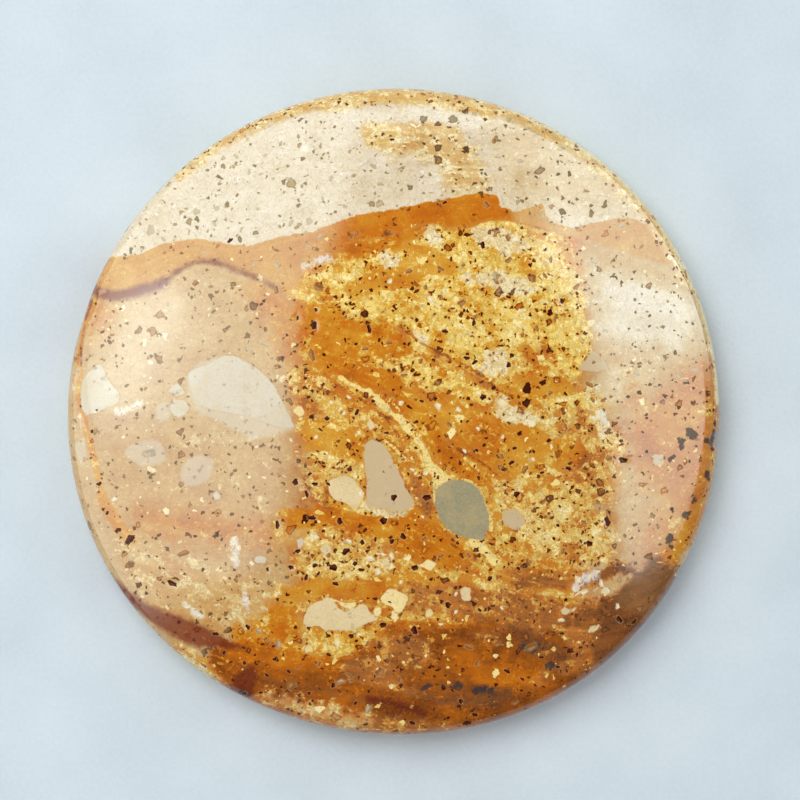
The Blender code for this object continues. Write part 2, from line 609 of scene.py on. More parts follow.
mark(
    "gravel",
    patch((290, 372), (318, 374), (340, 390), (322, 398), (294, 394)),
    patch((494, 478), (520, 482), (548, 492), (590, 504), (618, 510), (622, 540), (604, 560), (560, 556),
          (530, 546), (512, 524), (500, 506)),
    patch((540, 404), (580, 410), (616, 424), (622, 470), (612, 504), (570, 496), (548, 470), (520, 448),
          (516, 430)),
    patch((284, 534), (310, 528), (350, 532), (385, 540), (398, 560), (385, 572), (345, 575), (300, 572)),
    patch((480, 580), (540, 588), (552, 598), (520, 600), (490, 596)),
    patch((262, 592), (284, 582), (304, 590), (304, 612), (280, 616), (264, 608)),
    patch((276, 480), (300, 470), (330, 474), (334, 506), (300, 510), (280, 500)),
    patch((180, 640), (206, 656), (240, 690), (220, 700), (170, 650)),
    patch((286, 470), (300, 440), (330, 446), (356, 454), (364, 480), (330, 472)),
    patch((530, 636), (580, 636), (610, 640), (596, 668), (560, 672), (536, 660)),
)
mark(
    "rust",
    patch((300, 306), (332, 306), (350, 318), (362, 324), (388, 326), (404, 340), (412, 352),
          (396, 360), (370, 364), (340, 372), (316, 366), (302, 340)),
    patch((346, 372), (372, 368), (396, 374), (404, 388), (392, 394), (366, 386)),
    patch((396, 392), (412, 398), (430, 412), (440, 432), (452, 452), (470, 466), (488, 480), (470, 480),
          (448, 468), (430, 446), (414, 424), (400, 410)),
    patch((285, 508), (330, 506), (372, 514), (400, 512), (424, 500), (436, 520), (452, 536), (466, 550),
          (450, 564), (418, 558), (396, 544), (366, 530), (330, 520), (290, 528)),
    patch((212, 652), (228, 636), (250, 634), (290, 640), (318, 652), (350, 654), (376, 668), (372, 690),
          (320, 686), (280, 676), (250, 680), (232, 686), (212, 676)),
    patch((352, 226), (420, 226), (412, 244), (388, 256), (360, 262), (346, 262)),
    patch((232, 622), (252, 606), (272, 600), (296, 604), (302, 620), (300, 648), (270, 650), (244, 646)),
)
mark(
    "umber",
    patch((622, 590), (660, 566), (704, 590), (676, 616), (650, 632), (624, 630), (606, 612)),
    stroke(12, (566, 616), (590, 612), (612, 618)),
    stroke(16, (512, 630), (536, 640), (556, 652)),
    stroke(22, (438, 692), (470, 694), (504, 698)),
    patch((604, 612), (640, 606), (668, 618), (644, 650), (606, 668), (588, 646)),
    stroke(7, (250, 674), (300, 680), (344, 689), (384, 697), (424, 707)),
    stroke(14, (606, 600), (630, 600)),
    stroke(10, (598, 574), (616, 566), (634, 572), (640, 586)),
    stroke(10, (520, 640), (546, 646)),
    stroke(9, (428, 700), (456, 698)),
    stroke(8, (612, 660), (640, 644), (668, 622)),
)
mark(
    "russet",
    patch((496, 706), (530, 684), (560, 670), (590, 672), (604, 684), (562, 708), (520, 726), (480, 734)),
    patch((216, 668), (236, 676), (262, 690), (290, 704), (270, 714), (236, 700)),
    stroke(13, (232, 672), (262, 672), (296, 672), (340, 682), (384, 692), (424, 704), (470, 716)),
    stroke(9, (398, 672), (430, 684), (470, 690)),
    stroke(8, (446, 636), (462, 626), (486, 622), (512, 634)),
)
mark(
    "foot",
    patch((208, 650), (240, 642), (284, 650), (320, 656), (352, 652), (376, 638), (392, 622), (436, 618),
          (470, 618), (520, 618), (566, 610), (604, 606), (640, 620), (610, 680), (540, 718), (480, 734),
          (400, 738), (320, 725), (260, 705), (225, 685)),
)
mark(
    "bister",
    patch((470, 626), (500, 618), (540, 612), (570, 606), (570, 626), (520, 632), (490, 636)),
    patch((556, 612), (600, 600), (640, 606), (640, 650), (600, 690), (570, 700), (588, 662), (560, 640)),
    patch((376, 640), (400, 630), (424, 634), (432, 650), (424, 664), (404, 664), (388, 654)),
    patch((296, 404), (312, 400), (326, 412), (318, 418)),
    patch((410, 474), (422, 480), (434, 504), (426, 516), (414, 500)),
    patch((262, 690), (300, 696), (350, 706), (420, 714), (470, 724), (420, 740), (330, 732), (270, 712)),
    patch((486, 590), (520, 588), (556, 596), (560, 612), (520, 616), (492, 610)),
    patch((345, 660), (375, 652), (396, 660), (420, 678), (444, 690), (420, 696), (380, 688), (350, 676)),
    stroke(5, (404, 330), (424, 346), (456, 366), (486, 388)),
    patch((500, 566), (560, 572), (606, 566), (604, 580), (560, 586), (520, 584)),
    patch((400, 586), (440, 580), (480, 590), (470, 606), (430, 612), (402, 606)),
    patch((430, 588), (500, 598), (556, 604), (600, 592), (606, 606), (560, 616), (500, 622), (450, 612)),
    patch((552, 660), (600, 650), (640, 640), (600, 690), (552, 712), (500, 722), (510, 706)),
)
mark(
    "olive",
    patch((396, 130), (430, 130), (454, 133), (467, 148), (484, 172), (484, 192), (456, 200), (442, 186),
          (436, 168), (414, 160), (384, 158)),
)
# Degrees between the places of a stroke that follows the stone's edge
RIM_STEP = 6


def rim_arc(start, end, inset):
    """Photo places along the stone's edge, this many pixels inside it, between two angles."""
    out = PHOTO_ACROSS / 2 - inset
    turns = [math.radians(turn) for turn in range(start, end + 1, RIM_STEP)]
    return [PHOTO_MIDDLE + out * np.array((math.cos(turn), -math.sin(turn))) for turn in turns]


mark(
    "gilt",
    stroke(20, *rim_arc(72, 102, 12)),
    stroke(15, *rim_arc(96, 132, 8)),
    stroke(9, (384, 130), (420, 130), (452, 132)),
    stroke(10, *rim_arc(24, 72, 9)),
    patch((362, 128), (384, 126), (398, 132), (392, 148), (374, 154), (364, 144)),
)
mark(
    "dune",
    patch((118, 546), (140, 540), (176, 552), (216, 566), (256, 572), (272, 596), (252, 620), (216, 616),
          (186, 606), (150, 592), (128, 574)),
    stroke(8, (184, 650), (204, 664), (216, 684)),
    stroke(11, (268, 694), (298, 704), (334, 714), (366, 722)),
)
mark(
    "ember",
    patch((446, 650), (462, 640), (490, 640), (512, 654), (540, 674), (560, 690), (540, 700), (508, 690),
          (474, 680), (452, 668)),
    patch((232, 648), (260, 646), (300, 654), (330, 664), (300, 668), (250, 662)),
)
# Painted light: a thin, near-white line just inside the upper right edge, where the edge is lit
mark("rim", stroke(7, *rim_arc(2, 68, 2)))
mark(
    "blush",
    patch((500, 120), (570, 120), (640, 166), (710, 240), (660, 226), (600, 212), (560, 216),
          (520, 204), (500, 170)),
)
mark(
    "smoke",
    patch((612, 590), (622, 580), (636, 569), (650, 555), (668, 560), (684, 574), (704, 588), (670, 610),
          (640, 612), (620, 604), smooth=False),
)
mark(
    "cream",
    patch((470, 234), (500, 230), (526, 246), (514, 258), (490, 254), (474, 246)),
    patch((458, 282), (480, 274), (508, 278), (532, 292), (512, 298), (490, 292)),
    patch((488, 398), (500, 396), (512, 406), (530, 415), (537, 419), (520, 424), (505, 421), (492, 412)),
    patch((484, 350), (500, 350), (506, 366), (492, 378), (478, 368)),
    patch((414, 334), (426, 338), (430, 350), (420, 346)),
    patch((422, 232), (436, 232), (440, 246), (430, 250)),
    patch((380, 258), (392, 256), (396, 268), (384, 272)),
    patch((362, 502), (390, 500), (412, 504), (408, 512), (378, 512)),
    patch((590, 424), (604, 420), (610, 432), (596, 438)),
)
# Chalk: partly the stone's own pale colour and partly a painted reflection of the bright room
mark(
    "chalk_and_reflection",
    patch((586, 256), (612, 262), (640, 268), (672, 274), (706, 296), (718, 330), (706, 344), (690, 336),
          (672, 350), (654, 346), (640, 366), (622, 374), (612, 392), (602, 376), (600, 340), (594, 296)),
    patch((598, 380), (630, 374), (642, 392), (634, 408), (604, 408)),
    patch((628, 474), (650, 470), (656, 500), (640, 540), (628, 536)),
)
mark(
    "fawn",
    patch((120, 440), (190, 430), (250, 446), (300, 440), (304, 530), (278, 556), (262, 590), (240, 622),
          (220, 590), (180, 552), (124, 530), (106, 490)),
    patch((620, 470), (664, 450), (700, 450), (690, 500), (650, 540), (612, 548)),
    patch((590, 250), (640, 262), (690, 286), (700, 302), (650, 284), (600, 270)),
    patch((592, 346), (620, 348), (648, 354), (636, 370), (606, 374)),
    patch((694, 300), (716, 310), (720, 350), (702, 344)),
)
mark(
    "rose",
    patch((644, 398), (672, 378), (704, 356), (724, 380), (726, 440), (716, 480), (690, 520), (650, 560),
          (636, 540), (652, 500), (634, 476), (622, 430)),
    patch((136, 508), (180, 508), (240, 516), (292, 518), (290, 542), (230, 540), (170, 536), (146, 530)),
    patch((252, 284), (292, 292), (306, 330), (300, 366), (280, 352), (262, 312)),
    patch((90, 296), (116, 306), (104, 330), (92, 330)),
    patch((624, 380), (650, 396), (640, 420), (618, 410)),
    patch((136, 600), (180, 606), (220, 622), (216, 630), (176, 618)),
)

# %% [markdown]
# ## Mauve, seams and veins
# A thin mauve line runs under the band at the left, and a mauve bed dips at the lower left.
# Ochre fills an old crack that follows the left edge. Two pale veins cross the middle, with
# thin broken branches, and a dark crack runs down beside them. These are strokes, because
# each is long and narrow.

# %% Lines
mark(
    "mauve",
    stroke(4.5, (86, 283), (96, 291), (114, 297), (135, 293), (147, 289), (168, 283), (181, 273), (199, 265),
           (220, 265), (242, 274), (262, 281), (280, 292)),
    stroke(11, (92, 290), (114, 297), (142, 293), (168, 284)),
    patch((108, 572), (117, 579), (135, 591), (152, 602), (180, 613), (204, 622), (226, 634), (246, 646),
          (214, 645), (196, 645), (172, 632), (147, 616), (124, 598)),
    patch((230, 694), (236, 675), (253, 662), (259, 672), (252, 694)),
    stroke(7, (370, 696), (395, 700), (422, 710)),
)
mark(
    "ochre_seam",
    stroke(5, (98, 300), (90, 312), (84, 331), (82, 346), (81, 363), (84, 373), (81, 386), (82, 400)),
    stroke(7, (82, 400), (85, 411), (88, 423), (92, 440), (97, 458), (100, 471), (103, 485), (107, 500)),
    stroke(13, (105, 494), (109, 504), (115, 514), (123, 526), (134, 538)),
)
mark(
    "vein",
    stroke(3, (341, 378), (352, 384), (364, 391)),
    stroke(8, (368, 392), (376, 398), (386, 407)),
    stroke(4, (386, 407), (392, 413), (397, 416)),
    stroke(8, (397, 416), (403, 421), (410, 431)),
    stroke(5, (410, 431), (418, 441), (424, 450)),
    patch((421, 446), (428, 452), (434, 462), (444, 470), (450, 478), (440, 482), (434, 486), (430, 474),
          (425, 462)),
    stroke(3, (434, 500), (434, 488), (442, 482), (456, 477), (470, 480)),
    stroke(3, (384, 438), (392, 445), (400, 452), (404, 456)),
    stroke(3, (470, 482), (478, 490), (483, 501), (488, 516), (489, 528)),
    stroke(3, (497, 482), (503, 493), (506, 502), (516, 508), (528, 519)),
    patch((467, 536), (478, 536), (488, 548), (498, 558), (490, 563), (482, 552), (470, 546)),
    stroke(2, (306, 374), (322, 384), (338, 396)),
    stroke(2, (380, 392), (392, 402), (404, 416)),
    stroke(1.6, (654, 560), (664, 563), (673, 569), (676, 580)),
)
mark(
    "dark_crack",
    stroke(2.5, (400, 326), (417, 342), (432, 350), (456, 363), (482, 377), (494, 389), (510, 396)),
    stroke(2, (336, 384), (360, 398), (384, 416), (402, 440), (420, 468), (428, 486)),
    stroke(1.6, (452, 445), (470, 456), (486, 466), (500, 480)),
    stroke(2, (96, 296), (88, 314), (85, 331), (83, 346), (84, 373)),
    stroke(1.6, (450, 540), (462, 550), (468, 560)),
)

# %% [markdown]
# ## Broken pieces in the stone
# The sand holds broken pieces of older, finer stone: white, cream, butter-yellow, taupe and
# one grey-green pebble. Their edges are crisp, and each has an even tone of its own. The
# tone is one more number, taken for each mesh point from the piece nearest to it. Some more
# pieces lie just under the face and show through it faintly. They are the ghost marking.

# %% Clasts
WHITE, CREAM, BUTTER, TAUPE, PEBBLE = 0.0, 0.25, 0.5, 0.75, 1.0
CLASTS = (
    (WHITE, ((192, 375), (205, 368), (219, 362), (227, 357), (240, 358), (252, 364), (264, 373),
             (277, 386), (284, 401), (292, 416), (297, 427), (282, 426), (262, 419), (240, 413),
             (218, 409), (200, 404), (198, 397))),
    (WHITE, ((86, 380), (94, 371), (104, 365), (112, 381), (122, 394), (120, 403), (110, 408), (98, 413),
             (88, 414), (83, 402))),
    (WHITE, ((173, 391), (177, 385), (183, 383), (186, 389), (189, 394), (181, 396))),
    (WHITE, ((174, 407), (178, 400), (188, 400), (193, 406), (190, 414), (183, 418), (176, 413))),
    (WHITE, ((216, 492), (221, 488), (225, 496), (219, 498))),
    (WHITE, ((256, 556), (262, 552), (270, 554), (268, 560), (260, 560))),
    (CREAM, ((305, 617), (308, 608), (312, 602), (322, 596), (331, 595), (337, 600), (342, 605),
             (348, 608), (356, 604), (361, 600), (366, 601), (371, 609), (377, 615), (371, 618),
             (364, 621), (352, 626), (339, 626), (326, 626), (318, 622), (309, 623))),
    (BUTTER, ((333, 595), (339, 596), (344, 598), (350, 600), (356, 598), (357, 601), (351, 604),
              (346, 603), (339, 600))),
    (BUTTER, ((388, 585), (391, 585), (398, 588), (405, 591), (407, 594), (405, 600), (402, 606),
              (398, 607), (390, 602), (383, 598), (381, 595), (384, 590))),
    (BUTTER, ((376, 603), (381, 604), (382, 609), (378, 612), (374, 608))),
    (BUTTER, ((392, 607), (397, 609), (399, 614), (395, 619), (391, 613))),
    (CREAM, ((330, 482), (334, 477), (343, 475), (352, 476), (359, 483), (365, 491), (362, 499),
             (356, 506), (346, 500), (335, 496), (330, 489))),
    (TAUPE, ((366, 446), (370, 440), (378, 440), (386, 447), (394, 459), (403, 478), (409, 492),
             (413, 503), (404, 508), (392, 508), (380, 504), (369, 502), (367, 474))),
    (PEBBLE, ((434, 496), (437, 487), (443, 481), (451, 478), (460, 478), (471, 483), (478, 490),
              (483, 501), (487, 514), (485, 528), (480, 536), (467, 535), (456, 532), (448, 527),
              (439, 516), (435, 506))),
    (TAUPE, ((502, 508), (510, 506), (520, 512), (522, 520), (514, 528), (504, 524), (500, 516))),
    (TAUPE, ((576, 369), (583, 358), (590, 351), (598, 358), (605, 369), (594, 372), (584, 372))),
    (WHITE, ((589, 362), (595, 360), (597, 366), (591, 367))),
    (CREAM, ((459, 586), (464, 582), (470, 585), (469, 596), (463, 598), (460, 592))),
    (BUTTER, ((425, 608), (430, 605), (434, 609), (430, 614), (425, 613))),
    (CREAM, ((555, 609), (562, 605), (569, 606), (575, 602), (573, 608), (563, 612))),
    (CREAM, ((584, 629), (589, 624), (597, 622), (599, 625), (590, 630))),
    (BUTTER, ((296, 410), (302, 404), (308, 412), (302, 419))),
    (CREAM, ((368, 422), (373, 420), (376, 426), (370, 430))),
    (WHITE, ((298, 537), (304, 534), (307, 541), (301, 546))),
    (CREAM, ((322, 546), (328, 541), (334, 545), (328, 552))),
    (CREAM, ((382, 556), (388, 554), (391, 560), (384, 562))),
    (BUTTER, ((306, 645), (311, 641), (314, 646), (308, 650))),
    (TAUPE, ((648, 454), (660, 454), (660, 464), (650, 464))),
    (BUTTER, ((418, 562), (428, 556), (437, 560), (430, 567))),
)
# An outline with more corners than this is drawn rounded, and the others are left angular
MOST_ANGULAR = 8

mark(
    "ghost",
    patch((192, 375), (227, 357), (264, 373), (284, 401), (297, 427), (288, 431), (274, 435), (258, 437),
          (246, 432), (232, 427), (216, 417), (200, 410)),
    patch((161, 408), (170, 402), (174, 412), (170, 421), (162, 420)),
    patch((130, 450), (150, 440), (164, 443), (170, 458), (158, 464), (140, 463)),
    patch((184, 470), (196, 456), (210, 455), (217, 464), (212, 478), (198, 484), (186, 480)),
    patch((78, 444), (86, 440), (90, 452), (86, 460), (80, 458)),
)


def mark_clasts():
    """Stores how deep inside a piece each point is, and the tone of the nearest piece."""
    gaps = np.array([patch(*outline, smooth=len(outline) > MOST_ANGULAR) for _, outline in CLASTS])
    tones = np.array([tone for tone, _ in CLASTS])
    store("clast", gaps.max(axis=0))
    store("clast_tone", tones[gaps.argmax(axis=0)])
    return len(CLASTS)


print("clasts:", mark_clasts())

# %% [markdown]
# ## Frost and soot
# A few small patches are frosted with white quartz, and grey-black mineral spots gather
# near the right edge and at the foot. They are short, broad strokes.

# %% White and black patches
mark(
    "frost",
    stroke(6, (308, 268), (318, 265), (331, 260)),
    stroke(6, (239, 538), (238, 546), (239, 560)),
    stroke(5, (247, 592), (248, 600), (250, 606)),
    stroke(5, (188, 602), (196, 608), (204, 614)),
    stroke(8, (572, 584), (580, 578), (592, 571)),
    stroke(5, (122, 412), (134, 409), (144, 404)),
    stroke(5, (597, 412), (604, 424)),
)
mark(
    "soot",
    stroke(6, (686, 431), (691, 436), (695, 434)),
    stroke(5, (704, 440), (710, 443), (714, 440)),
    stroke(4, (680, 442), (677, 448)),
    stroke(4, (671, 456), (667, 459)),
    stroke(5, (676, 438), (680, 441)),
    stroke(5, (712, 430), (715, 436)),
    stroke(5, (668, 536), (667, 541), (671, 547)),
    stroke(5, (682, 514), (688, 512)),
    stroke(5, (704, 472), (706, 478)),
    stroke(4, (690, 494), (692, 498)),
    stroke(5, (522, 642), (529, 646), (536, 641)),
    stroke(4, (538, 634), (541, 638)),
    stroke(4, (546, 662), (552, 660)),
    stroke(4, (424, 684), (432, 681)),
    stroke(4, (444, 682), (454, 684), (460, 682)),
    stroke(4, (474, 688), (484, 686), (492, 691)),
    stroke(5, (244, 691), (248, 694)),
)

# %% [markdown]
# ## Single grains and pores
# Most specks in the stone look alike and can be scattered by a texture, but the larger ones
# are worth placing one by one. A mesh point is too coarse to draw a speck, so each point keeps
# its offset from the nearest speck, measured in that speck's own size. Offsets blend
# exactly across a face, and the material can draw a sharp, angular speck from them.

# %% Placed specks
DARK, BROWN, CLEAR, LIGHT = 0.0, 1 / 3, 2 / 3, 1.0
SPECK_SEED = 7
# How much of its measured radius a speck fills, and the most that chance draws it out
SPECK_SHARE = 0.72
SPECK_STRETCH = 1.5
# An offset, in radii, for a point with no speck near it
NO_SPECK = 99.0
# Each speck: its place in the photo and its radius, in pixels
SPECKS = {
    DARK: (
        (233, 243, 4), (316, 327, 6), (370, 331, 5), (392, 143, 3), (481, 248, 5), (559, 303, 4),
        (472, 325, 4), (444, 333, 4), (465, 359, 4), (473, 363, 4), (506, 366, 4), (481, 397, 5),
        (426, 495, 6), (390, 598, 2), (347, 548, 6), (335, 564, 6), (293, 564, 4), (394, 495, 5),
        (384, 518, 6), (341, 518, 5), (280, 522, 5), (314, 515, 5), (133, 538, 8), (102, 483, 4),
        (218, 631, 4), (250, 624, 4), (414, 564, 5), (447, 601, 5), (414, 626, 6), (619, 459, 6),
        (509, 461, 4), (514, 492, 5), (555, 523, 3), (551, 536, 3), (586, 541, 5), (488, 575, 4),
        (617, 617, 5), (632, 620, 4), (175, 581, 6), (329, 418, 4), (358, 412, 4), (374, 401, 3),
        (478, 606, 3), (512, 447, 3), (475, 449, 3), (539, 471, 3), (565, 467, 4), (604, 520, 6),
        (383, 621, 5), (352, 632, 4), (421, 401, 3), (516, 565, 3), (403, 533, 5), (444, 206, 3),
        (437, 208, 2), (450, 262, 3), (320, 570, 3), (362, 566, 4), (298, 480, 5), (330, 482, 3),
        (317, 482, 4), (270, 566, 3), (95, 431, 3), (110, 512, 3), (246, 693, 4), (412, 720, 4),
        (460, 698, 4), (474, 712, 4), (556, 664, 3), (540, 654, 3), (575, 652, 3), (506, 668, 4),
        (521, 676, 3), (100, 410, 2), (387, 432, 3), (300, 320, 3), (345, 315, 3), (338, 307, 2),
        (318, 312, 3), (325, 528, 3), (308, 574, 4), (363, 539, 4), (317, 562, 4), (312, 472, 3),
        (309, 492, 4), (337, 580, 4), (356, 560, 4), (300, 548, 4), (376, 536, 3), (392, 538, 4),
        (268, 672, 3), (290, 668, 3), (246, 660, 3), (310, 690, 3), (334, 682, 4), (226, 650, 3),
        (262, 690, 3), (356, 700, 3), (276, 656, 3),
    ),
    BROWN: (
        (320, 290, 7), (279, 292, 5), (199, 285, 5), (210, 272, 3), (314, 356, 7), (281, 360, 4),
        (506, 241, 5), (506, 263, 5), (530, 281, 6), (542, 278, 4), (573, 289, 5), (485, 208, 5),
        (409, 274, 5), (605, 457, 5), (522, 468, 6), (562, 426, 4), (526, 559, 5), (467, 552, 4),
        (380, 668, 7), (293, 683, 6), (187, 551, 7), (239, 577, 4), (468, 643, 5), (460, 305, 6),
        (474, 318, 3), (499, 455, 4), (391, 236, 4), (353, 240, 4), (359, 236, 3), (529, 644, 7),
        (590, 363, 3), (514, 700, 4), (268, 636, 4), (659, 402, 5), (649, 514, 5), (655, 525, 4),
        (547, 393, 4), (586, 385, 5), (589, 400, 4), (600, 400, 4), (500, 520, 3), (413, 480, 3),
        (340, 467, 3), (493, 144, 4), (440, 300, 4), (520, 336, 3), (488, 322, 3), (534, 330, 4),
        (552, 320, 4), (440, 272, 4), (425, 290, 4), (462, 268, 3), (548, 262, 4), (420, 362, 4),
        (436, 384, 4), (404, 376, 4), (390, 344, 4), (366, 350, 4), (382, 366, 3), (448, 424, 4),
        (540, 500, 4), (580, 520, 4), (560, 548, 4), (594, 500, 4), (530, 520, 3), (424, 536, 4),
        (440, 552, 4), (456, 566, 3), (310, 556, 4), (330, 552, 4), (420, 588, 4), (500, 588, 4),
        (320, 660, 4), (300, 664, 3), (350, 672, 4), (400, 676, 4), (476, 660, 4), (496, 640, 4),
        (403, 458, 3), (384, 470, 2), (368, 640, 4), (390, 652, 4), (497, 466, 4),
    ),
    CLEAR: (
        (322, 240, 4), (238, 159, 4), (225, 160, 4), (275, 182, 3), (290, 182, 4), (251, 175, 4),
        (249, 142, 3), (381, 188, 4), (219, 211, 5), (199, 214, 6), (153, 232, 8), (166, 241, 4),
        (217, 226, 4), (244, 232, 4), (293, 226, 5), (311, 225, 6), (260, 212, 3), (192, 168, 3),
        (200, 167, 3), (282, 146, 3), (267, 158, 3), (304, 198, 3), (324, 202, 3), (332, 182, 4),
        (346, 210, 4), (374, 170, 5), (493, 278, 6), (508, 122, 5), (560, 151, 5), (535, 138, 4),
        (528, 131, 3), (474, 117, 4), (593, 180, 3), (518, 164, 4), (476, 158, 3), (466, 167, 3),
        (591, 264, 5), (612, 226, 3), (620, 228, 4), (539, 217, 4), (545, 223, 3), (307, 236, 3),
        (263, 177, 3), (310, 250, 3), (280, 268, 5), (257, 268, 4), (207, 256, 3), (135, 557, 4),
        (602, 332, 4), (635, 331, 3), (641, 361, 4), (676, 376, 4), (633, 374, 5), (691, 369, 4),
        (659, 367, 3), (342, 678, 5), (369, 706, 6), (261, 628, 5), (280, 641, 6), (268, 346, 5),
        (250, 350, 4), (436, 500, 2), (150, 555, 4),
    ),
    LIGHT: (
        (437, 406, 5), (457, 409, 4), (401, 403, 4), (430, 301, 4), (371, 555, 5), (383, 551, 3),
        (392, 552, 4), (362, 491, 4), (463, 450, 3), (575, 577, 5), (587, 574, 4), (595, 569, 3),
        (572, 586, 4), (581, 589, 5), (598, 580, 4), (605, 588, 4), (615, 604, 4), (559, 617, 4),
        (391, 563, 4), (378, 568, 5), (317, 534, 4), (350, 538, 4), (401, 578, 3), (390, 284, 4),
        (494, 302, 3), (350, 397, 3), (517, 313, 4), (596, 412, 4), (604, 424, 4), (590, 418, 4),
        (412, 468, 3), (425, 471, 4), (345, 413, 3), (333, 402, 3), (318, 436, 3), (360, 432, 3),
        (530, 458, 3), (548, 446, 3), (500, 436, 3), (476, 428, 3), (120, 410, 4), (132, 408, 4),
        (144, 404, 4), (238, 536, 4), (242, 545, 4), (236, 556, 4), (248, 596, 4), (190, 604, 4),
        (202, 612, 4), (118, 498, 4), (455, 590, 3), (360, 630, 3), (338, 640, 4), (440, 620, 3),
        (455, 608, 3), (500, 604, 3),
    ),
}


def mark_specks():
    """Stores each point's offset from its nearest speck, in that speck's radii, and its kind.

    Each speck has its own turn and is a little longer than wide, by seeded chance.
    """
    chance = np.random.default_rng(SPECK_SEED)
    nearest = np.full(len(spots), NO_SPECK)
    offset = np.full((len(spots), 3), (NO_SPECK, NO_SPECK, 0.0))
    kind = np.zeros(len(spots))
    for tone, places in SPECKS.items():
        for x, y, radius in places:
            turn = chance.uniform(0, 2 * math.pi)
            longer = chance.uniform(1.0, SPECK_STRETCH)
            away = (spots - on_stone((x, y))) / (SPECK_SHARE * radius * MM_PER_PIXEL)
            along = (away[:, 0] * math.cos(turn) + away[:, 1] * math.sin(turn)) / longer
            aside = (away[:, 1] * math.cos(turn) - away[:, 0] * math.sin(turn)) * longer
            far = np.hypot(along, aside)
            closer = far < nearest
            nearest[closer] = far[closer]
            offset[closer, :2] = np.column_stack((along, aside))[closer]
            kind[closer] = tone
    store("speck_reach", nearest)
    store("speck_kind", kind)
    layer = stone_mesh.attributes.new("speck_offset", "FLOAT_VECTOR", "POINT")
    layer.data.foreach_set("vector", offset.astype(np.float32).ravel())
    return nearest, kind


speck_reach, speck_kind = mark_specks()
print("placed specks:", sum(len(places) for places in SPECKS.values()))

# %% [markdown]
# ## Hollows, a groove and chips
# The polish runs flat over most specks, but the dark ones are small hollows, the crack at
# the left is a faint groove, and the edge lost three tiny chips. These are real shape, so
# the mesh points are moved, always inwards: by a few hundredths of a millimetre on the
# face, and by up to a third of one at a chip.

# %% Real hollows in the mesh
HOLLOW_DEPTH = 0.02 * MM
GROOVE_DEPTH = 0.05 * MM
GROOVE = ((96, 300), (84, 331), (81, 370), (84, 405), (97, 458), (107, 500), (132, 537))
# In millimetres, half the groove's width, and how far below the face anything is pressed in
GROOVE_HALF = 0.3
LOWEST_HOLLOW = 2.5
# Each chip: its place in the photo, how many pixels it reaches, and its depth
CHIPS = (((687, 574), 9.0, 0.35 * MM), ((716, 440), 8.0, 0.25 * MM), ((158, 186), 6.0, 0.15 * MM))
# Points moved further than this are counted
COUNTED = 0.01 * MM
# Edges that turn by more than this stay sharp
SHARPEST_SMOOTH = math.radians(30)


def dip(reach, soft=0.35):
    """1 well inside a hollow, easing to 0 at its edge."""
    share = np.clip((1 + soft - reach) / (2 * soft), 0, 1)
    return share * share * (3 - 2 * share)


def press_hollows(mesh):
    """Moves points inwards along the surface where the stone is pitted, cracked or chipped."""
    normals = np.empty(len(mesh.vertices) * 3, np.float32)
    mesh.vertex_normals.foreach_get("vector", normals)
    normals = normals.reshape(-1, 3)
    inwards = HOLLOW_DEPTH * dip(speck_reach) * (speck_kind == DARK)
    groove = gap_to_line(rounded(GROOVE, closed=False))
    inwards += GROOVE_DEPTH * dip(groove / GROOVE_HALF)
    for place, pixels, deep in CHIPS:
        gap = np.hypot(*(spots - on_stone(place)).T) / (pixels * MM_PER_PIXEL)
        inwards += deep * dip(gap)
    inwards[depth > LOWEST_HOLLOW] = 0.0
    move_points(mesh, points_of(mesh) - normals * inwards[:, None])
    return (inwards > COUNTED).sum()


print("points pressed in:", press_hollows(stone_mesh))
stone_mesh.shade_smooth()
stone_mesh.set_sharp_from_angle(angle=SHARPEST_SMOOTH)

# %% [markdown]
# ## Helpers for the finish
# Textures in a material are sized here in millimetres of stone, not in Blender's scale
# numbers, so each can be compared with a grain of sand. The stone's own coordinates are
# used, so the pattern runs through it like real bedding and does not slide in any view.

# %% Texture helpers


def start_finish(material):
    """A material's node tree and its shader."""
    material.use_nodes = True
    return material.node_tree, material.node_tree.nodes["Principled BSDF"]


def noise(tree, where, size, detail, rough, twist=0.0, output="Fac"):
    """Fractal noise from 0 to 1, with features about this many millimetres wide."""
    node = tree.nodes.new("ShaderNodeTexNoise")
    feed(tree, node.inputs["Vector"], where)
    node.inputs["Scale"].default_value = 1 / (size * MM)
    node.inputs["Detail"].default_value = detail
    node.inputs["Roughness"].default_value = rough
    node.inputs["Distortion"].default_value = twist
    return node.outputs[output]


def mosaic(tree, where, size):
    """Random many-sided grains about this many millimetres wide.

    Gives three chance numbers of each grain, and the distance to its edge in millimetres.
    """
    outputs = []
    for feature in ("F1", "DISTANCE_TO_EDGE"):
        node = tree.nodes.new("ShaderNodeTexVoronoi")
        node.feature = feature
        feed(tree, node.inputs["Vector"], where)
        node.inputs["Scale"].default_value = 1 / (size * MM)
        outputs.append(node.outputs)
    inwards = times(tree, outputs[1]["Distance"], size)
    return parts_of(tree, outputs[0]["Color"]), inwards


def eased(tree, value, low, high):
    """0 below low, 1 above high, and a smooth step between. High may be the lower one."""
    node = tree.nodes.new("ShaderNodeMapRange")
    node.interpolation_type = "SMOOTHSTEP"
    for socket, number in zip(node.inputs, (value, low, high, 0.0, 1.0)):
        feed(tree, socket, number)
    return node.outputs[0]


def swayed(tree, base, texture, amount):
    """A number moved up or down by a texture, by this much between the texture's 0 and 1."""
    return calc(tree, "ADD", calc(tree, "MULTIPLY_ADD", texture, amount, -amount / 2), base)


def blend(tree, share, under, upper):
    """A number between two others, as far as share says."""
    step = calc(tree, "SUBTRACT", upper, under)
    return calc(tree, "MULTIPLY_ADD", step, share, under)


def stored(tree, name, output="Fac"):
    """A number or vector that the mesh points carry."""
    node = tree.nodes.new("ShaderNodeAttribute")
    node.attribute_name = name
    return node.outputs[output]


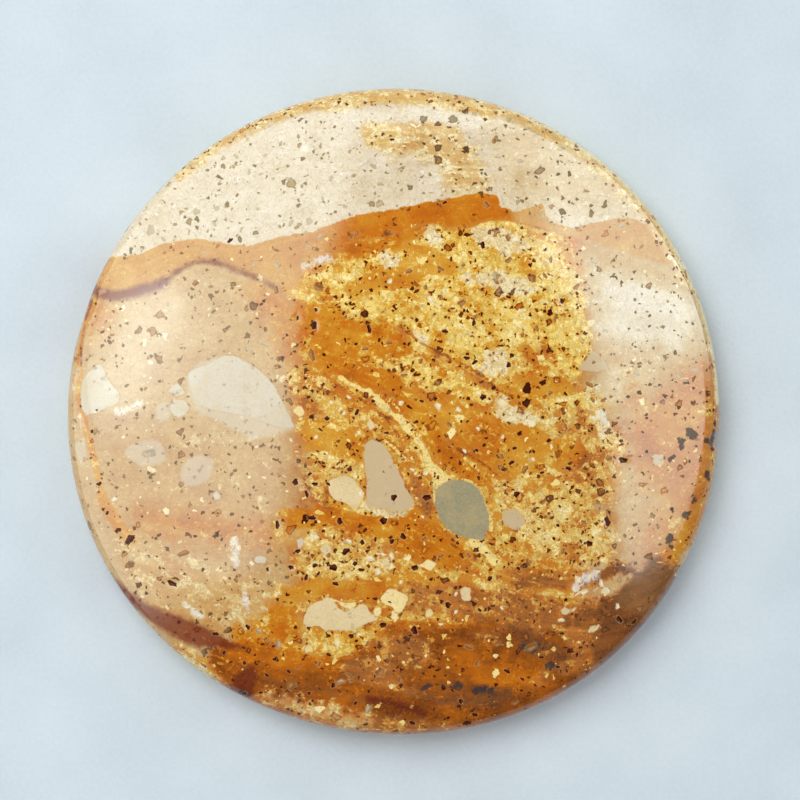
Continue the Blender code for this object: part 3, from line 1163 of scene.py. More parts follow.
def over(tree, share, under, upper):
    """Upper colour laid over the one below it, as far as share says."""
    node = tree.nodes.new("ShaderNodeMix")
    node.data_type = "RGBA"
    feed(tree, node.inputs[0], share)
    for socket, colour in ((node.inputs[6], under), (node.inputs[7], upper)):
        feed(tree, socket, (*colour, 1.0) if isinstance(colour, tuple) else colour)
    return node.outputs[2]


def shades(tree, value, colours):
    """Dark to light colours along a value from 0 to 1."""
    ramp = tree.nodes.new("ShaderNodeValToRGB")
    feed(tree, ramp.inputs[0], value)
    marks = ramp.color_ramp.elements
    while len(marks) < len(colours):
        marks.new(0.5)
    for place, (element, colour) in enumerate(zip(marks, colours)):
        element.position = place / (len(colours) - 1)
        element.color = (*colour, 1.0)
    return ramp.outputs[0]


def roughen(tree, shader, relief, strength, depth):
    """Lets a texture tilt the shading, as relief this many millimetres deep would."""
    bump = tree.nodes.new("ShaderNodeBump")
    bump.inputs["Strength"].default_value = strength
    bump.inputs["Distance"].default_value = depth * MM
    feed(tree, bump.inputs["Height"], relief)
    feed(tree, shader.inputs["Normal"], bump.outputs[0])


# %% [markdown]
# ## From iron to cream
# One thing gives nearly all of this stone its colours: how much iron the water left. So each
# place gets a level, from 0 for dark iron to 1 for clean cream sand, and a colour is read
# off for it, as light amounts of red, green and blue. A second row of colours, greyer, is
# for the pale field and the chalky parts. Each kind of stone is then a short recipe.

# %% Colours and recipes
IRON = (
    (0.045, 0.006, 0.003), (0.13, 0.030, 0.008), (0.31, 0.085, 0.010), (0.56, 0.152, 0.008),
    (0.63, 0.268, 0.020), (0.70, 0.385, 0.050), (0.79, 0.530, 0.110), (0.88, 0.675, 0.205),
    (0.93, 0.800, 0.400),
)
PALE = (
    (0.15, 0.12, 0.06), (0.38, 0.30, 0.16), (0.56, 0.46, 0.26), (0.72, 0.63, 0.475),
    (0.82, 0.76, 0.67),
)
MAUVE = ((0.09, 0.013, 0.008), (0.18, 0.032, 0.014), (0.26, 0.062, 0.028), (0.46, 0.22, 0.12))
# Each recipe: level of the cement, share of it that is packed grains, how strong its grain
# shows, and how far its colours are the greyer ones
RECIPES = {
    "honey": (0.45, 0.56, 1.0, 0.06),
    "tan": (0.515, 0.22, 0.65, 0.62),
    "fawn": (0.470, 0.28, 0.70, 0.55),
    "amber": (0.48, 0.34, 1.0, 0.02),
    "straw": (0.57, 0.66, 1.0, 0.0),
    "gravel": (0.45, 0.62, 1.2, 0.12),
    "cream": (0.70, 0.70, 0.8, 0.42),
    "rust": (0.42, 0.30, 0.9, 0.0),
    "bister": (0.30, 0.40, 0.9, 0.14),
    "russet": (0.25, 0.16, 0.9, 0.0),
    "umber": (0.17, 0.20, 0.9, 0.12),
    "rose": (0.425, 0.30, 0.85, 0.17),
    # Chalk below is partly pale stone and partly a painted reflection of the bright room
    "chalk_and_reflection": (0.79, 0.22, 1.05, 0.92),
    "sienna": (0.53, 0.12, 0.60, 0.33),
    "band": (0.405, 0.08, 0.60, 0.0),
    "pale": (0.775, 0.24, 0.75, 0.90),
    "foot": (0.25, 0.32, 0.9, 0.0),
    "ember": (0.335, 0.16, 0.8, 0.0),
    "smoke": (0.18, 0.14, 0.9, 0.28),
    "blush": (0.66, 0.22, 0.85, 0.70),
    "dune": (0.535, 0.46, 0.85, 0.42),
    "olive": (0.60, 0.50, 1.1, 0.42),
    "gilt": (0.64, 0.50, 0.9, 0.32),
    # Rim: painted light on the upper right edge, near white
    "rim": (0.92, 0.40, 0.6, 0.30),
    "seam": (0.50, 0.30, 0.9, 0.0),
}
# The stains, in the order in which they are laid, and how far the edge of each is softened
# and frayed, in millimetres. Chalk among them is partly a painted reflection.
STAINS_AND_REFLECTION = {
    "gravel": (0.25, 1.6),
    "straw": (0.12, 1.2),
    "amber": (0.30, 1.6),
    "chalk_and_reflection": (1.4, 2.0),
    "fawn": (1.2, 1.8),
    "rose": (1.4, 2.0),
    "rust": (0.22, 1.3),
    "foot": (0.70, 2.2),
    "ember": (0.60, 1.6),
    "bister": (0.35, 1.6),
    "umber": (0.35, 1.3),
    "russet": (0.35, 1.3),
    "dune": (0.60, 1.6),
    "smoke": (0.30, 0.70),
    "cream": (0.12, 1.0),
}
# The same for every marking
EDGES = {
    **STAINS_AND_REFLECTION,
    "ochre_seam": (0.10, 0.35),
    "iron_band": (0.16, 0.5),
    "pale_field": (0.05, 0.30),
    "blush": (1.6, 2.6),
    "olive": (0.5, 1.8),
    "gilt": (0.20, 0.8),
    "rim": (0.15, 0.6),
    "mauve": (0.25, 0.35),
    "dark_crack": (0.06, 0.35),
    "vein_shade": (0.22, 0.3),
    "vein": (0.05, 0.30),
    "clast_line": (0.10, 0.14),
    "clast": (0.05, 0.26),
    "ghost": (0.15, 0.40),
    "frost": (0.16, 0.7),
    "soot": (0.05, 0.7),
}
CRACK_LEVEL = 0.12
VEIN_LEVEL = 0.90
# White, cream, butter, taupe and pebble
CLAST_TONES = (
    (0.64, 0.57, 0.44), (0.78, 0.63, 0.36), (0.90, 0.73, 0.34), (0.60, 0.46, 0.28),
    (0.31, 0.29, 0.18),
)
CLAST_STAIN = (0.58, 0.42, 0.20)
CLAST_FLECK = (0.34, 0.25, 0.13)
LINE_COLOUR = (0.22, 0.085, 0.008)
FROST_COLOUR = (0.78, 0.77, 0.72)
SOOT_COLOUR = (0.035, 0.035, 0.04)
# Dark, brown, clear and light specks: the speck itself, its lit heart, and how solid it is
SPECK_WALLS = (IRON[0], (0.25, 0.085, 0.022), (0.30, 0.23, 0.12), (0.76, 0.66, 0.42))
SPECK_HEARTS = ((0.11, 0.025, 0.008), (0.44, 0.21, 0.06), (0.52, 0.43, 0.27), (0.88, 0.80, 0.60))
SPECK_STRENGTHS = ((1.0,) * 3, (0.9,) * 3, (0.6,) * 3, (0.85,) * 3)
print("kinds of stone:", len(RECIPES))

# %% [markdown]
# ## Textures that every part shares
# Clouds vary the stone slowly, streaks follow the beds, fray roughens every edge, and two
# mosaics of many-sided grains, coarse and fine, stand for the sand itself. They are made
# once and used again, which keeps the finish quick to render.

# %% Shared textures
# Sizes in millimetres of the coarse and the fine grains, and of what makes them ragged
GRAIN_SIZE = 0.50
SAND_SIZE = 0.25
RAGGED_SIZE = 0.30
RAGGED_SHIFT = 0.26 * MM
# How much of x and y the streaks follow. The less, the longer they are drawn out
DRAWN_OUT = (0.18, 0.10)


def stone_textures(tree):
    """The textures that several layers share."""
    where = tree.nodes.new("ShaderNodeTexCoord").outputs["Object"]
    x, y, _ = parts_of(tree, where)
    shift = noise(tree, where, RAGGED_SIZE, 1.0, 0.5, output="Color")
    sway = arrow(tree, "SUBTRACT", shift, (0.5, 0.5, 0.5))
    ragged = arrow(tree, "ADD", where, arrow(tree, "MULTIPLY", sway, (RAGGED_SHIFT,) * 3))
    bed = times(tree, stored(tree, "bed"), MM)
    beds = vector_of(tree, times(tree, x, DRAWN_OUT[0]), bed, times(tree, y, DRAWN_OUT[1]))
    grains = mosaic(tree, ragged, GRAIN_SIZE)
    sand = mosaic(tree, ragged, SAND_SIZE)
    return {
        "where": where,
        "cloud": noise(tree, where, 2.4, 3.0, 0.6, 0.3),
        "fray": noise(tree, where, 0.8, 5.0, 0.70),
        "fine": noise(tree, where, 0.17, 2.0, 0.65),
        "streak": noise(tree, beds, 0.6, 3.0, 0.62),
        "loops": noise(tree, ragged, 0.95, 1.5, 0.5),
        "grains": grains,
        "sand": sand,
        "pick": grains[0][0],
        "small_pick": sand[0][0],
    }


def contour(tree, texture, middle, reach):
    """Thin wandering lines, where a texture passes one value."""
    away = calc(tree, "ABSOLUTE", calc(tree, "SUBTRACT", texture, middle))
    return eased(tree, away, reach, 0.4 * reach)


def edge(tree, look, name, kind=None):
    """A marking's mask, with its edge softened and frayed as EDGES says for its kind."""
    soft, ragged = EDGES[kind or name]
    gap = swayed(tree, stored(tree, name), look["fray"], 2 * ragged)
    return eased(tree, gap, -soft, soft)


# %% [markdown]
# ## Mixing the recipes
# The order matters as much as the numbers. The soft stains come first, chalk among them
# with its partly painted reflection, then the ochre seam, then the band: a pale sienna one
# all along, with the strong orange over it wherever its iron wasn't washed out. The pale field
# covers the band's upper edge, and its own tints, the gilt and the rim's painted light on the
# upper right edge come last.

# %% Mix the recipes
# Where honey turns to tan at both sides, from x to x
TAN_SIDES = ((-5.5 * MM, -8.0 * MM), (11.8 * MM, 14.2 * MM))
# Where the band's iron is washed out, from x to x, and how much of it
IRON_LOSSES = ((7.7 * MM, 8.6 * MM, 0.95), (-2.6 * MM, -5.6 * MM, 0.80))
SEAM_SHARE = 0.85


def mixed_recipe(tree, look):
    """The recipe of the stone at each place: three numbers as a colour, and the paleness."""
    x = parts_of(tree, look["where"])[0]
    sides = total(tree, *(eased(tree, x, start, end) for start, end in TAN_SIDES))
    iron = 1.0
    for start, end, loss in IRON_LOSSES:
        iron = calc(tree, "MULTIPLY_ADD", eased(tree, x, start, end), -loss, iron)
    band = edge(tree, look, "iron_band")
    field = edge(tree, look, "pale_field")
    layers = [(edge(tree, look, name), name) for name in STAINS_AND_REFLECTION]
    layers += [
        (times(tree, edge(tree, look, "ochre_seam"), SEAM_SHARE), "seam"),
        (band, "sienna"),
        (times(tree, band, iron), "band"),
        (field, "pale"),
        (times(tree, edge(tree, look, "blush"), field), "blush"),
        (times(tree, edge(tree, look, "olive"), field), "olive"),
        (edge(tree, look, "gilt"), "gilt"),
        # Painted light along the upper right edge
        (edge(tree, look, "rim"), "rim"),
    ]

    recipe = over(tree, sides, RECIPES["honey"][:3], RECIPES["tan"][:3])
    paleness = blend(tree, sides, RECIPES["honey"][3], RECIPES["tan"][3])
    for mask, name in layers:
        recipe = over(tree, mask, recipe, RECIPES[name][:3])
        paleness = blend(tree, mask, paleness, RECIPES[name][3])
    return recipe, paleness


# %% [markdown]
# ## Cement and packed grains
# Between its grains the stone is clear cement, which changes slowly. Where grains are
# packed, it is lighter, each grain has a tone of its own, and thin dark lines run round
# some of them. Where the two meet, the edge is crisp but frayed.

# %% Level of the stone
# What moves the level of the cement, the level of a grain and the packing, and how far
CEMENT_SWAY = {"cloud": 0.55, "streak": 0.32, "fine": 0.28}
GRAIN_SWAY = {"pick": 0.16, "small_pick": 0.22, "fine": 0.42}
PACKING_SWAY = {"streak": 0.50, "packing": 0.55, "pick": 0.10}
# How much lighter than the cement a grain is, and the packing from which grains show
GRAIN_LIFT = 0.22
PACKED_FROM = 0.50
PACKED_FULLY = 0.53
# Bright loops in the cement, and dark ones: the value of the loops texture that they follow,
# and how far on both sides of it they reach
BRIGHT_LOOPS = (0.58, 0.028)
DARK_LOOPS = (0.50, 0.034)
LOOP_LIFT = 0.13
# Share of the coarse grains with a line round each, where the rest show the lines of the fine
# ones, and how strong the lines are
COARSE_LINED = 0.7
LINE_STRENGTH = 0.75
LINE_IN_CEMENT = 0.25
LINE_IN_GRAINS = 0.50


def moved(tree, base, look, sway):
    """A number moved up and down by several textures, each by its own amount."""
    for texture, amount in sway.items():
        base = swayed(tree, base, look[texture], amount)
    return base


def stone_level(tree, look, recipe):
    """The level of the stone, from iron to cream, and where thin dark lines run."""
    cement, packing, strength = parts_of(tree, recipe)
    (_, split, _), inwards = look["grains"]
    _, small_inwards = look["sand"]
    broken = eased(tree, look["fine"], 0.45, 0.55)
    spark = times(tree, contour(tree, look["loops"], *BRIGHT_LOOPS), broken)
    slow = moved(tree, 0.0, look, CEMENT_SWAY)
    slow = calc(tree, "MULTIPLY_ADD", spark, LOOP_LIFT, slow)
    slow = times(tree, slow, eased(tree, cement, -0.10, 0.42))

    grain = moved(tree, GRAIN_LIFT, look, GRAIN_SWAY)
    packed = moved(tree, look["fray"], {**look, "packing": packing}, PACKING_SWAY)
    share = eased(tree, packed, PACKED_FROM, PACKED_FULLY)

    cell = blend(tree, calc(tree, "GREATER_THAN", split, COARSE_LINED), inwards, small_inwards)
    line = times(tree, eased(tree, cell, 0.065, 0.02), LINE_STRENGTH)
    line = calc(tree, "MAXIMUM", line, contour(tree, look["loops"], *DARK_LOOPS))
    line = times(tree, line, broken)
    line = times(tree, line, blend(tree, share, LINE_IN_CEMENT, LINE_IN_GRAINS))
    change = calc(tree, "MULTIPLY_ADD", share, grain, slow)
    return calc(tree, "MULTIPLY_ADD", change, strength, cement), line


# %% [markdown]
# ## Pores, chips, cracks and veins
# By chance a grain is a pale chip, or has fallen out and left a dark pore, often with a
# lighter heart, and chance also sets how much of its cell it fills. Cracks and veins are
# levels too: a crack is stained dark, and a vein is clean cream with a faintly dark border.

# %% Pores and veins
# Each mosaic: the share of its grains that are pores in bare cement, how much higher that is
# where grains are packed, the share of chips there, and by how many millimetres chance
# shrinks a grain
PORES = {
    "grains": (0.036, 0.150, 0.070, 0.18),
    "sand": (0.078, 0.150, 0.075, 0.06),
}
# As levels: the darkest chip, how much lighter chance makes one, the lightest pore, and how
# much lighter its heart is
CHIP_FROM = 0.78
CHIP_RANGE = 0.22
PORE_RANGE = 0.28
HEART_LIFT = 0.28
CRACK_SHARE = 0.70
VEIN_SHADE_SHARE = 0.25


def press_specks(tree, level, cells, pores, chips, fill, strength):
    """Pores and pale chips drawn from one mosaic. Pores and chips are shares of its grains."""
    (chance, girth, hue), inwards = cells
    body = calc(tree, "MULTIPLY_ADD", girth, -fill, inwards)
    filled = eased(tree, body, 0.0, 0.03)
    is_chip = calc(tree, "GREATER_THAN", chance, calc(tree, "SUBTRACT", 1.0, chips))
    light = calc(tree, "MULTIPLY_ADD", hue, CHIP_RANGE, CHIP_FROM)
    level = blend(tree, times(tree, is_chip, filled), level, light)
    pit = times(tree, calc(tree, "LESS_THAN", chance, pores), filled)
    pit = times(tree, pit, strength)
    dark = times(tree, times(tree, hue, hue), PORE_RANGE)
    heart = times(tree, eased(tree, body, 0.06, 0.12), hue)
    dark = calc(tree, "MULTIPLY_ADD", heart, HEART_LIFT, dark)
    return blend(tree, pit, level, dark), pit


def with_specks_and_lines(tree, look, recipe, level):
    """The level with cracks, veins, pores and chips laid in, and where the pores are."""
    _, packing, strength = parts_of(tree, recipe)
    strength = eased(tree, strength, 0.10, 0.95)
    crack = times(tree, edge(tree, look, "dark_crack"), CRACK_SHARE)
    level = blend(tree, crack, level, CRACK_LEVEL)
    border = times(tree, edge(tree, look, "vein", "vein_shade"), VEIN_SHADE_SHARE)
    level = blend(tree, border, level, CRACK_LEVEL)
    filling = swayed(tree, VEIN_LEVEL, look["fine"], 0.3)
    level = blend(tree, edge(tree, look, "vein"), level, filling)
    pits = 0.0
    for name, (least_pores, more_pores, chips, fill) in PORES.items():
        pores = calc(tree, "MULTIPLY_ADD", packing, more_pores, least_pores)
        pale_chips = times(tree, packing, chips)
        level, pit = press_specks(tree, level, look[name], pores, pale_chips, fill, strength)
        pits = calc(tree, "MAXIMUM", pits, pit)
    return level, pits


# %% [markdown]
# ## Clasts, frost, soot and the placed specks
# The broken pieces are finer and calmer than the sand around them, with a darker line where
# they meet it. Frost and soot are broken up by noise, because they grew as crystals. The
# placed specks are five-sided, with a lighter heart on one side, as see-through grains are.

# %% Lay clasts, crystals and specks
# How much of each layer shows over the one below it
CLAST_LINE_SHARE = 0.45
GHOST_SHARE = 0.50
STAIN_SHARE = 0.30
DUST_SHARE = 0.34
FLECK_SHARE = 0.40
FROST_SHARE = 0.75
SOOT_SHARE = 0.85
HALO_SHARE = 0.12
# Share of the fine grains in a clast that are flecks
FLECKS = 0.13
# The sides of a speck: the direction that each faces in degrees, and how near it is cut
SPECK_SIDES = ((0, 1.0), (78, 1.15), (150, 0.95), (205, 1.2), (290, 1.0))
# Beyond this many radii from its middle no speck is drawn
SPECK_LIMIT = 2.4


def lay_clasts(tree, look, colour):
    """Even-toned pieces with a thin dark line round them."""
    outline = edge(tree, look, "clast", "clast_line")
    widened = calc(tree, "ADD", stored(tree, "clast"), 0.11)
    line = calc(tree, "SUBTRACT", eased(tree, widened, -0.1, 0.1), outline, clamp=True)
    line = times(tree, line, eased(tree, look["fray"], 0.40, 0.60))
    colour = over(tree, times(tree, line, CLAST_LINE_SHARE), colour, IRON[2])
    ghost = times(tree, edge(tree, look, "ghost"), GHOST_SHARE)
    colour = over(tree, ghost, colour, CLAST_TONES[0])
    body = shades(tree, stored(tree, "clast_tone"), CLAST_TONES)
    stain = eased(tree, swayed(tree, look["cloud"], look["fray"], 0.6), 0.46, 0.66)
    body = over(tree, times(tree, stain, STAIN_SHARE), body, CLAST_STAIN)
    dust = times(tree, eased(tree, look["fine"], 0.58, 0.32), DUST_SHARE)
    body = over(tree, dust, body, CLAST_STAIN)
    (chance, girth, _), inwards = look["sand"]
    fleck = eased(tree, calc(tree, "MULTIPLY_ADD", girth, -0.10, inwards), 0.0, 0.03)
    fleck = times(tree, fleck, calc(tree, "LESS_THAN", chance, FLECKS))
    body = over(tree, times(tree, fleck, FLECK_SHARE), body, CLAST_FLECK)
    return over(tree, edge(tree, look, "clast"), colour, body)


def lay_crystals(tree, look, colour):
    """White frost and grey-black soot, broken up by noise, and where the soot is."""
    frost = times(tree, edge(tree, look, "frost"), eased(tree, look["fine"], 0.36, 0.50))
    colour = over(tree, times(tree, frost, FROST_SHARE), colour, FROST_COLOUR)
    soot = times(tree, edge(tree, look, "soot"), SOOT_SHARE)
    return over(tree, soot, colour, SOOT_COLOUR), soot


def placed_specks(tree, look):
    """Masks of the placed specks: the speck itself, the rim round it, and its lit side."""
    x, y, _ = parts_of(tree, stored(tree, "speck_offset", "Vector"))
    flat = vector_of(tree, x, y, 0.0)
    sides = []
    reach = 0.0
    for turn, share in SPECK_SIDES:
        facing = (math.cos(math.radians(turn)), math.sin(math.radians(turn)), 0.0)
        sides.append(arrow(tree, "DOT_PRODUCT", flat, facing))
        reach = calc(tree, "MAXIMUM", reach, times(tree, sides[-1], share))
    ratio = swayed(tree, reach, look["fine"], 0.6)
    near = calc(tree, "LESS_THAN", stored(tree, "speck_reach"), SPECK_LIMIT)
    speck = times(tree, eased(tree, ratio, 0.92, 0.70), near)
    rim = times(tree, eased(tree, ratio, 1.20, 0.98), near)
    lit = eased(tree, sides[1], 0.25, -0.25)
    lit = times(tree, lit, eased(tree, ratio, 0.80, 0.50))
    return speck, rim, times(tree, lit, speck)


def lay_specks(tree, look, colour):
    """Dark pores and brown, clear and white grains, each where it was seen, and the pits."""
    speck, rim, lit = placed_specks(tree, look)
    kind = stored(tree, "speck_kind")
    wall = shades(tree, kind, SPECK_WALLS)
    heart = shades(tree, kind, SPECK_HEARTS)
    colour = over(tree, times(tree, rim, HALO_SHARE), colour, IRON[8])
    strength = shades(tree, kind, SPECK_STRENGTHS)
    colour = over(tree, times(tree, speck, strength), colour, wall)
    pit = times(tree, speck, eased(tree, kind, 0.6, 0.1))
    return over(tree, lit, colour, heart), pit


# %% [markdown]
# ## The polish
# The face and edge are polished, and the back is only ground fine, so it is duller. Which
# one a point belongs to follows from its height in the stone. A faint relief, finer than
# the mesh could carry, keeps what the polish mirrors from looking like plastic.

# %% Finish the stone
STONE_IOR = 1.54
MAUVE_SHARE = 0.92
# Sheen of the polish, and how much of it a pit loses
SHEEN = 0.5
PIT_LOSS = 0.40
# Roughness of the polish, how much rougher the ground back is, and how far grit moves it
POLISHED = 0.085
GROUND_ROUGHER = 0.45
GRIT_ROUGHER = 0.02
# The back is ground up to this height, and the polish starts above the second one
GROUND_BELOW = 0.05 * MM
POLISHED_ABOVE = 0.30 * MM


def finish_stone(material):
    """Lays every layer of colour in its order, then the polish and its faint relief."""
    tree, shader = start_finish(material)
    look = stone_textures(tree)
    recipe, paleness = mixed_recipe(tree, look)
    level, lines = stone_level(tree, look, recipe)
    level, pits = with_specks_and_lines(tree, look, recipe, level)
    colour = over(tree, paleness, shades(tree, level, IRON), shades(tree, level, PALE))
    mauve = times(tree, edge(tree, look, "mauve"), MAUVE_SHARE)
    colour = over(tree, mauve, colour, shades(tree, level, MAUVE))
    colour = over(tree, lines, colour, LINE_COLOUR)
    colour = lay_clasts(tree, look, colour)
    colour, soot = lay_crystals(tree, look, colour)
    colour, placed_pits = lay_specks(tree, look, colour)
    feed(tree, shader.inputs["Base Color"], colour)
    pits = calc(tree, "MAXIMUM", calc(tree, "MAXIMUM", pits, placed_pits), soot)
    sheen = calc(tree, "MULTIPLY_ADD", pits, -PIT_LOSS, SHEEN)
    feed(tree, shader.inputs["Specular IOR Level"], sheen)
    shader.inputs["IOR"].default_value = STONE_IOR

    height = parts_of(tree, look["where"])[2]
    ground = eased(tree, height, POLISHED_ABOVE, GROUND_BELOW)
    rough = calc(tree, "MULTIPLY_ADD", ground, GROUND_ROUGHER, POLISHED)
    rough = calc(tree, "MULTIPLY_ADD", look["fine"], GRIT_ROUGHER, rough)
    feed(tree, shader.inputs["Roughness"], rough)

    grit = noise(tree, look["where"], 0.12, 2.0, 0.6)
    relief = times(tree, grit, calc(tree, "ADD", ground, 0.10))
    roughen(tree, shader, relief, 0.35, 0.04)
    return len(tree.nodes)


print("nodes in the stone's finish:", finish_stone(stone_finish))

# %% [markdown]
# ## The stone as a piece
# The mesh becomes one object at the origin. It stands for the CAD solid, which is hidden,
# and moves with its body.

# %% Place the stone
stone = bpy.data.objects.new("polished_cabochon", stone_mesh)
bpy.context.scene.collection.objects.link(stone)
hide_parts("cabochon")
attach(stone, "root")
print("piece:", stone.name)

# %% [markdown]
# ## The table it lies on
# The stone lies on a plain, pale, faintly grained surface. It is a wide plane under the
# stone and not part of the object.

# %% Pale floor
FLOOR_HALF = 1.5
TABLE_SHADES = ((0.47, 0.54, 0.60), (0.595, 0.68, 0.75), (0.72, 0.80, 0.87))
TABLE_ROUGHNESS = 0.7
# Share of the fine grain in the table's tone, where the rest is soft mottling
GRAIN_SHARE = 0.35


def finish_floor():
    """A pale, faintly mottled and grained surface."""
    material = bpy.data.materials.new("pale_table")
    tree, shader = start_finish(material)
    where = tree.nodes.new("ShaderNodeTexCoord").outputs["Object"]
    grain = noise(tree, where, 0.30, 4.0, 0.6)
    soft = noise(tree, where, 9.0, 3.0, 0.5)
    mixed = blend(tree, GRAIN_SHARE, soft, grain)
    feed(tree, shader.inputs["Base Color"], shades(tree, mixed, TABLE_SHADES))
    shader.inputs["Roughness"].default_value = TABLE_ROUGHNESS
    roughen(tree, shader, grain, 0.45, 0.05)
    return material


floor_mesh = bpy.data.meshes.new("table_top")
floor_shape = bmesh.new()
bmesh.ops.create_grid(floor_shape, x_segments=1, y_segments=1, size=FLOOR_HALF)
floor_shape.to_mesh(floor_mesh)
floor_shape.free()
floor_mesh.materials.append(finish_floor())
table_top = bpy.data.objects.new("table_top", floor_mesh)
bpy.context.scene.collection.objects.link(table_top)
print(f"floor {2 * FLOOR_HALF:.0f} m across")

# %% [markdown]
# ## The camera
# The photograph looks straight down. The frame is 800 pixels wide and the stone's middle
# lies a little off the frame's, so the camera stands over the frame's middle instead. A
# long lens keeps the low edge of the stone from spreading.

# %% Camera
FRAME_PIXELS = 800
LENS = 100.0
SENSOR = 36.0


def stone_place(pixel):
    """A photo pixel as metres in the frame."""
    x, y = on_stone(pixel)[0] * MM
    return x, y


frame_wide = FRAME_PIXELS * MM_PER_PIXEL * MM
camera_away = frame_wide * LENS / SENSOR
camera_x, camera_y = stone_place((FRAME_PIXELS / 2, FRAME_PIXELS / 2))
lens = bpy.data.cameras.new("overhead")
lens.lens = LENS
lens.sensor_width = SENSOR
lens.clip_start = 0.01
camera = bpy.data.objects.new("overhead", lens)
camera.location = (camera_x, camera_y, camera_away + SHOULDER_FOOT)
bpy.context.scene.collection.objects.link(camera)
bpy.context.scene.camera = camera
print(f"camera {camera.location.z / MM:.0f} mm up, frame {frame_wide / MM:.1f} mm wide")

# %% [markdown]
# ## Soft light, and what the polish mirrors
# A wide soft lamp lights stone and table from the upper left. The polish also mirrors the
# room: bright ceiling to the left, right and top, and a dark gap in the middle, where
# nothing bright stands overhead. Those mirrored areas are pale cards above the stone that
# only reflections see. Each card is drawn by the patch of the stone that should mirror it:
# a line from the camera is bounced off the dome and followed up to the card's height.

# %% Lamp and world
LAMP_PLACE = Vector((-0.13, 0.165, 0.30))
LAMP_SIDE = 0.25
LAMP_WATTS = 0.86
ROOM_TINT = (1.0, 0.99, 0.97)
FILL = 0.62

lamp_data = bpy.data.lights.new("soft_lamp", "AREA")
lamp_data.shape = "SQUARE"
lamp_data.size = LAMP_SIDE
lamp_data.energy = LAMP_WATTS
lamp_data.color = ROOM_TINT
lamp = bpy.data.objects.new("soft_lamp", lamp_data)
lamp.location = LAMP_PLACE
lamp.rotation_mode = "QUATERNION"
lamp.rotation_quaternion = (-LAMP_PLACE).to_track_quat("-Z", "Y")
lamp.visible_glossy = False
bpy.context.scene.collection.objects.link(lamp)

world = bpy.data.worlds.new("white_room")
world.use_nodes = True
world.node_tree.nodes["Background"].inputs["Color"].default_value = (*ROOM_TINT, 1.0)
world.node_tree.nodes["Background"].inputs["Strength"].default_value = FILL
world.cycles_visibility.glossy = False
bpy.context.scene.world = world
bpy.context.scene.view_settings.view_transform = "Standard"
print(f"lamp {LAMP_SIDE / MM:.0f} mm across, {LAMP_PLACE.length / MM:.0f} mm from the stone")

# %% Cards that the polish mirrors
CARD_HEIGHT = 0.36
CARD_GAP = 0.002
# Each card: its strength, over how many pixels its edge fades out, and its outline in pixels
# of the photo
MIRRORED = (
    (
        "left_card", 3.3, 20,
        (
            (52, 262), (84, 170), (165, 90), (290, 56), (345, 60), (352, 150), (345, 215), (320, 262),
            (300, 300), (292, 400), (286, 480), (274, 550), (250, 578), (196, 582), (140, 560), (90, 500),
            (62, 440), (50, 360),
        ),
    ),
    (
        "left_glow", 6.0, 60,
        (
            (90, 306), (136, 290), (184, 284), (212, 306), (204, 350), (190, 392), (140, 430), (104, 430),
            (84, 400),
        ),
    ),
    (
        "left_streak", 9.0, 16,
        (
            (134, 296), (164, 280), (184, 290), (182, 330), (158, 376), (126, 404), (100, 402),
            (104, 374), (120, 336),
        ),
    ),
    (
        "right_card", 4.8, 9,
        (
            (492, 60), (560, 74), (650, 124), (720, 200), (744, 300), (736, 400), (712, 446), (703, 470),
            (690, 496), (676, 520), (660, 541), (648, 556), (634, 568), (624, 575), (622, 556),
            (616, 520), (612, 480), (608, 400), (606, 330), (603, 290), (594, 260), (580, 236),
            (562, 210), (534, 188), (504, 156),
        ),
    ),
    (
        "right_glow", 7.0, 24,
        (
            (662, 282), (694, 270), (710, 330), (690, 350), (664, 322),
        ),
    ),
    (
        "top_glow", 7.0, 3,
        (
            (352, 117), (420, 112), (500, 115), (500, 126), (420, 124), (352, 129),
        ),
    ),
)
CARD_TINT = (0.79, 0.93, 0.93, 1.0)
# Each wall: strength, and the directions in degrees between which it stands and leans over
WALLS = (("left_wall", 3.4, 112, 228), ("right_wall", 6.0, 0, 60))
WALL_AWAY = 0.60
WALL_FADE = 16
WALL_STEP = 4
WALL_LEAN = (25, 34, 45, 58, 72, 86)


def card_point(pixel, height):
    """Where a ray from the camera lands at this height after the dome at a pixel mirrors it."""
    x, y = stone_place(pixel)
    dome_centre = Vector((0, 0, THICKNESS - DOME_RADIUS))
    place = Vector((x, y, dome_centre.z + math.sqrt(DOME_RADIUS**2 - x**2 - y**2)))
    outwards = (place - dome_centre).normalized()
    ray = (place - camera.location).normalized()
    bounced = ray - 2 * ray.dot(outwards) * outwards
    return place + bounced * (height - place.z) / bounced.z


def widened(outline, fade):
    """An outline in pixels moved out by half the fade, and one moved in by the other half."""
    corners = np.array(outline, float)
    before, after = np.roll(corners, 1, axis=0), np.roll(corners, -1, axis=0)
    along = after - before
    aside = np.column_stack((along[:, 1], -along[:, 0])) / np.linalg.norm(along, axis=1)[:, None]
    turn = np.sum(before[:, 0] * corners[:, 1] - corners[:, 0] * before[:, 1])
    aside *= math.copysign(fade / 2, turn)
    return corners + aside, corners - aside


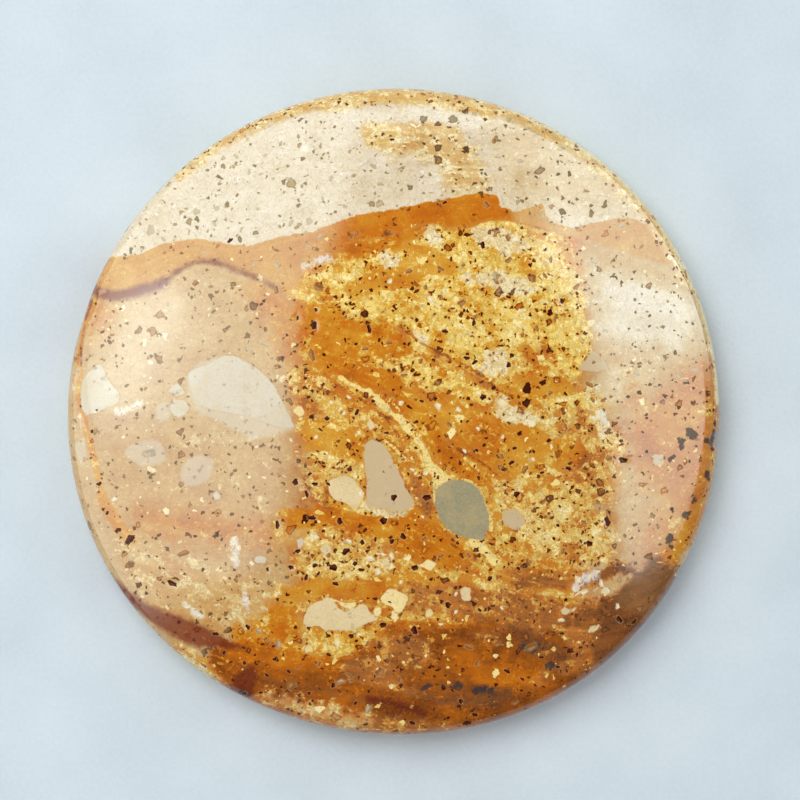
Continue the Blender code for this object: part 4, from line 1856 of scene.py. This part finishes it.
def glowing(name, strength):
    """A material that shines as its mesh points say, and is left out of direct lighting."""
    material = bpy.data.materials.new(name)
    tree, shader = start_finish(material)
    shader.inputs["Base Color"].default_value = (0, 0, 0, 1)
    shader.inputs["Emission Color"].default_value = CARD_TINT
    shader.inputs["Emission Strength"].default_value = strength
    feed(tree, shader.inputs["Alpha"], eased(tree, stored(tree, "shine"), 0.0, 1.0))
    material.cycles.emission_sampling = "NONE"
    return material


def hang(name, strength, places, faces, shines):
    """Hangs one card that only reflections see."""
    mesh = bpy.data.meshes.new(name)
    mesh.from_pydata(places, [], faces)
    layer = mesh.attributes.new("shine", "FLOAT", "POINT")
    layer.data.foreach_set("value", shines)
    mesh.materials.append(glowing(name, strength))
    card = bpy.data.objects.new(name, mesh)
    bpy.context.scene.collection.objects.link(card)
    for seen_by in ("camera", "diffuse", "transmission", "volume_scatter", "shadow"):
        setattr(card, "visible_" + seen_by, False)


def hang_card(name, strength, fade, outline, height):
    """A flat card at this height, full inside and fading out along its edge."""
    outer, inner = widened(outline, fade)
    places = [card_point(pixel, height) for pixel in (*inner, *outer)]
    count = len(outline)
    faces = [tuple(range(count))]
    for first in range(count):
        second = (first + 1) % count
        faces.append((first, second, count + second, count + first))
    hang(name, strength, places, faces, [1.0] * count + [0.0] * count)


def stand_wall(name, strength, start, end):
    """Part of a dome of light, from near the horizon to high up, for the shoulder to mirror."""
    turns = np.arange(start, end + 1, WALL_STEP)
    places = []
    shines = []
    for turn in np.radians(turns):
        for lean in np.radians(WALL_LEAN):
            level = WALL_AWAY * math.sin(lean)
            places.append((level * math.cos(turn), level * math.sin(turn), WALL_AWAY * math.cos(lean)))
            near_end = min(math.degrees(turn) - start, end - math.degrees(turn))
            shines.append(min(1.0, near_end / WALL_FADE))
    rows = len(WALL_LEAN)
    faces = [
        (first, first + rows, first + rows + 1, first + 1)
        for column in range(len(turns) - 1)
        for first in range(column * rows, column * rows + rows - 1)
    ]
    hang(name, strength, places, faces, shines)


for order, (name, strength, fade, outline) in enumerate(MIRRORED):
    hang_card(name, strength, fade, outline, CARD_HEIGHT - order * CARD_GAP)
for name, strength, start, end in WALLS:
    stand_wall(name, strength, start, end)
print("mirrored cards and walls:", len(MIRRORED) + len(WALLS))
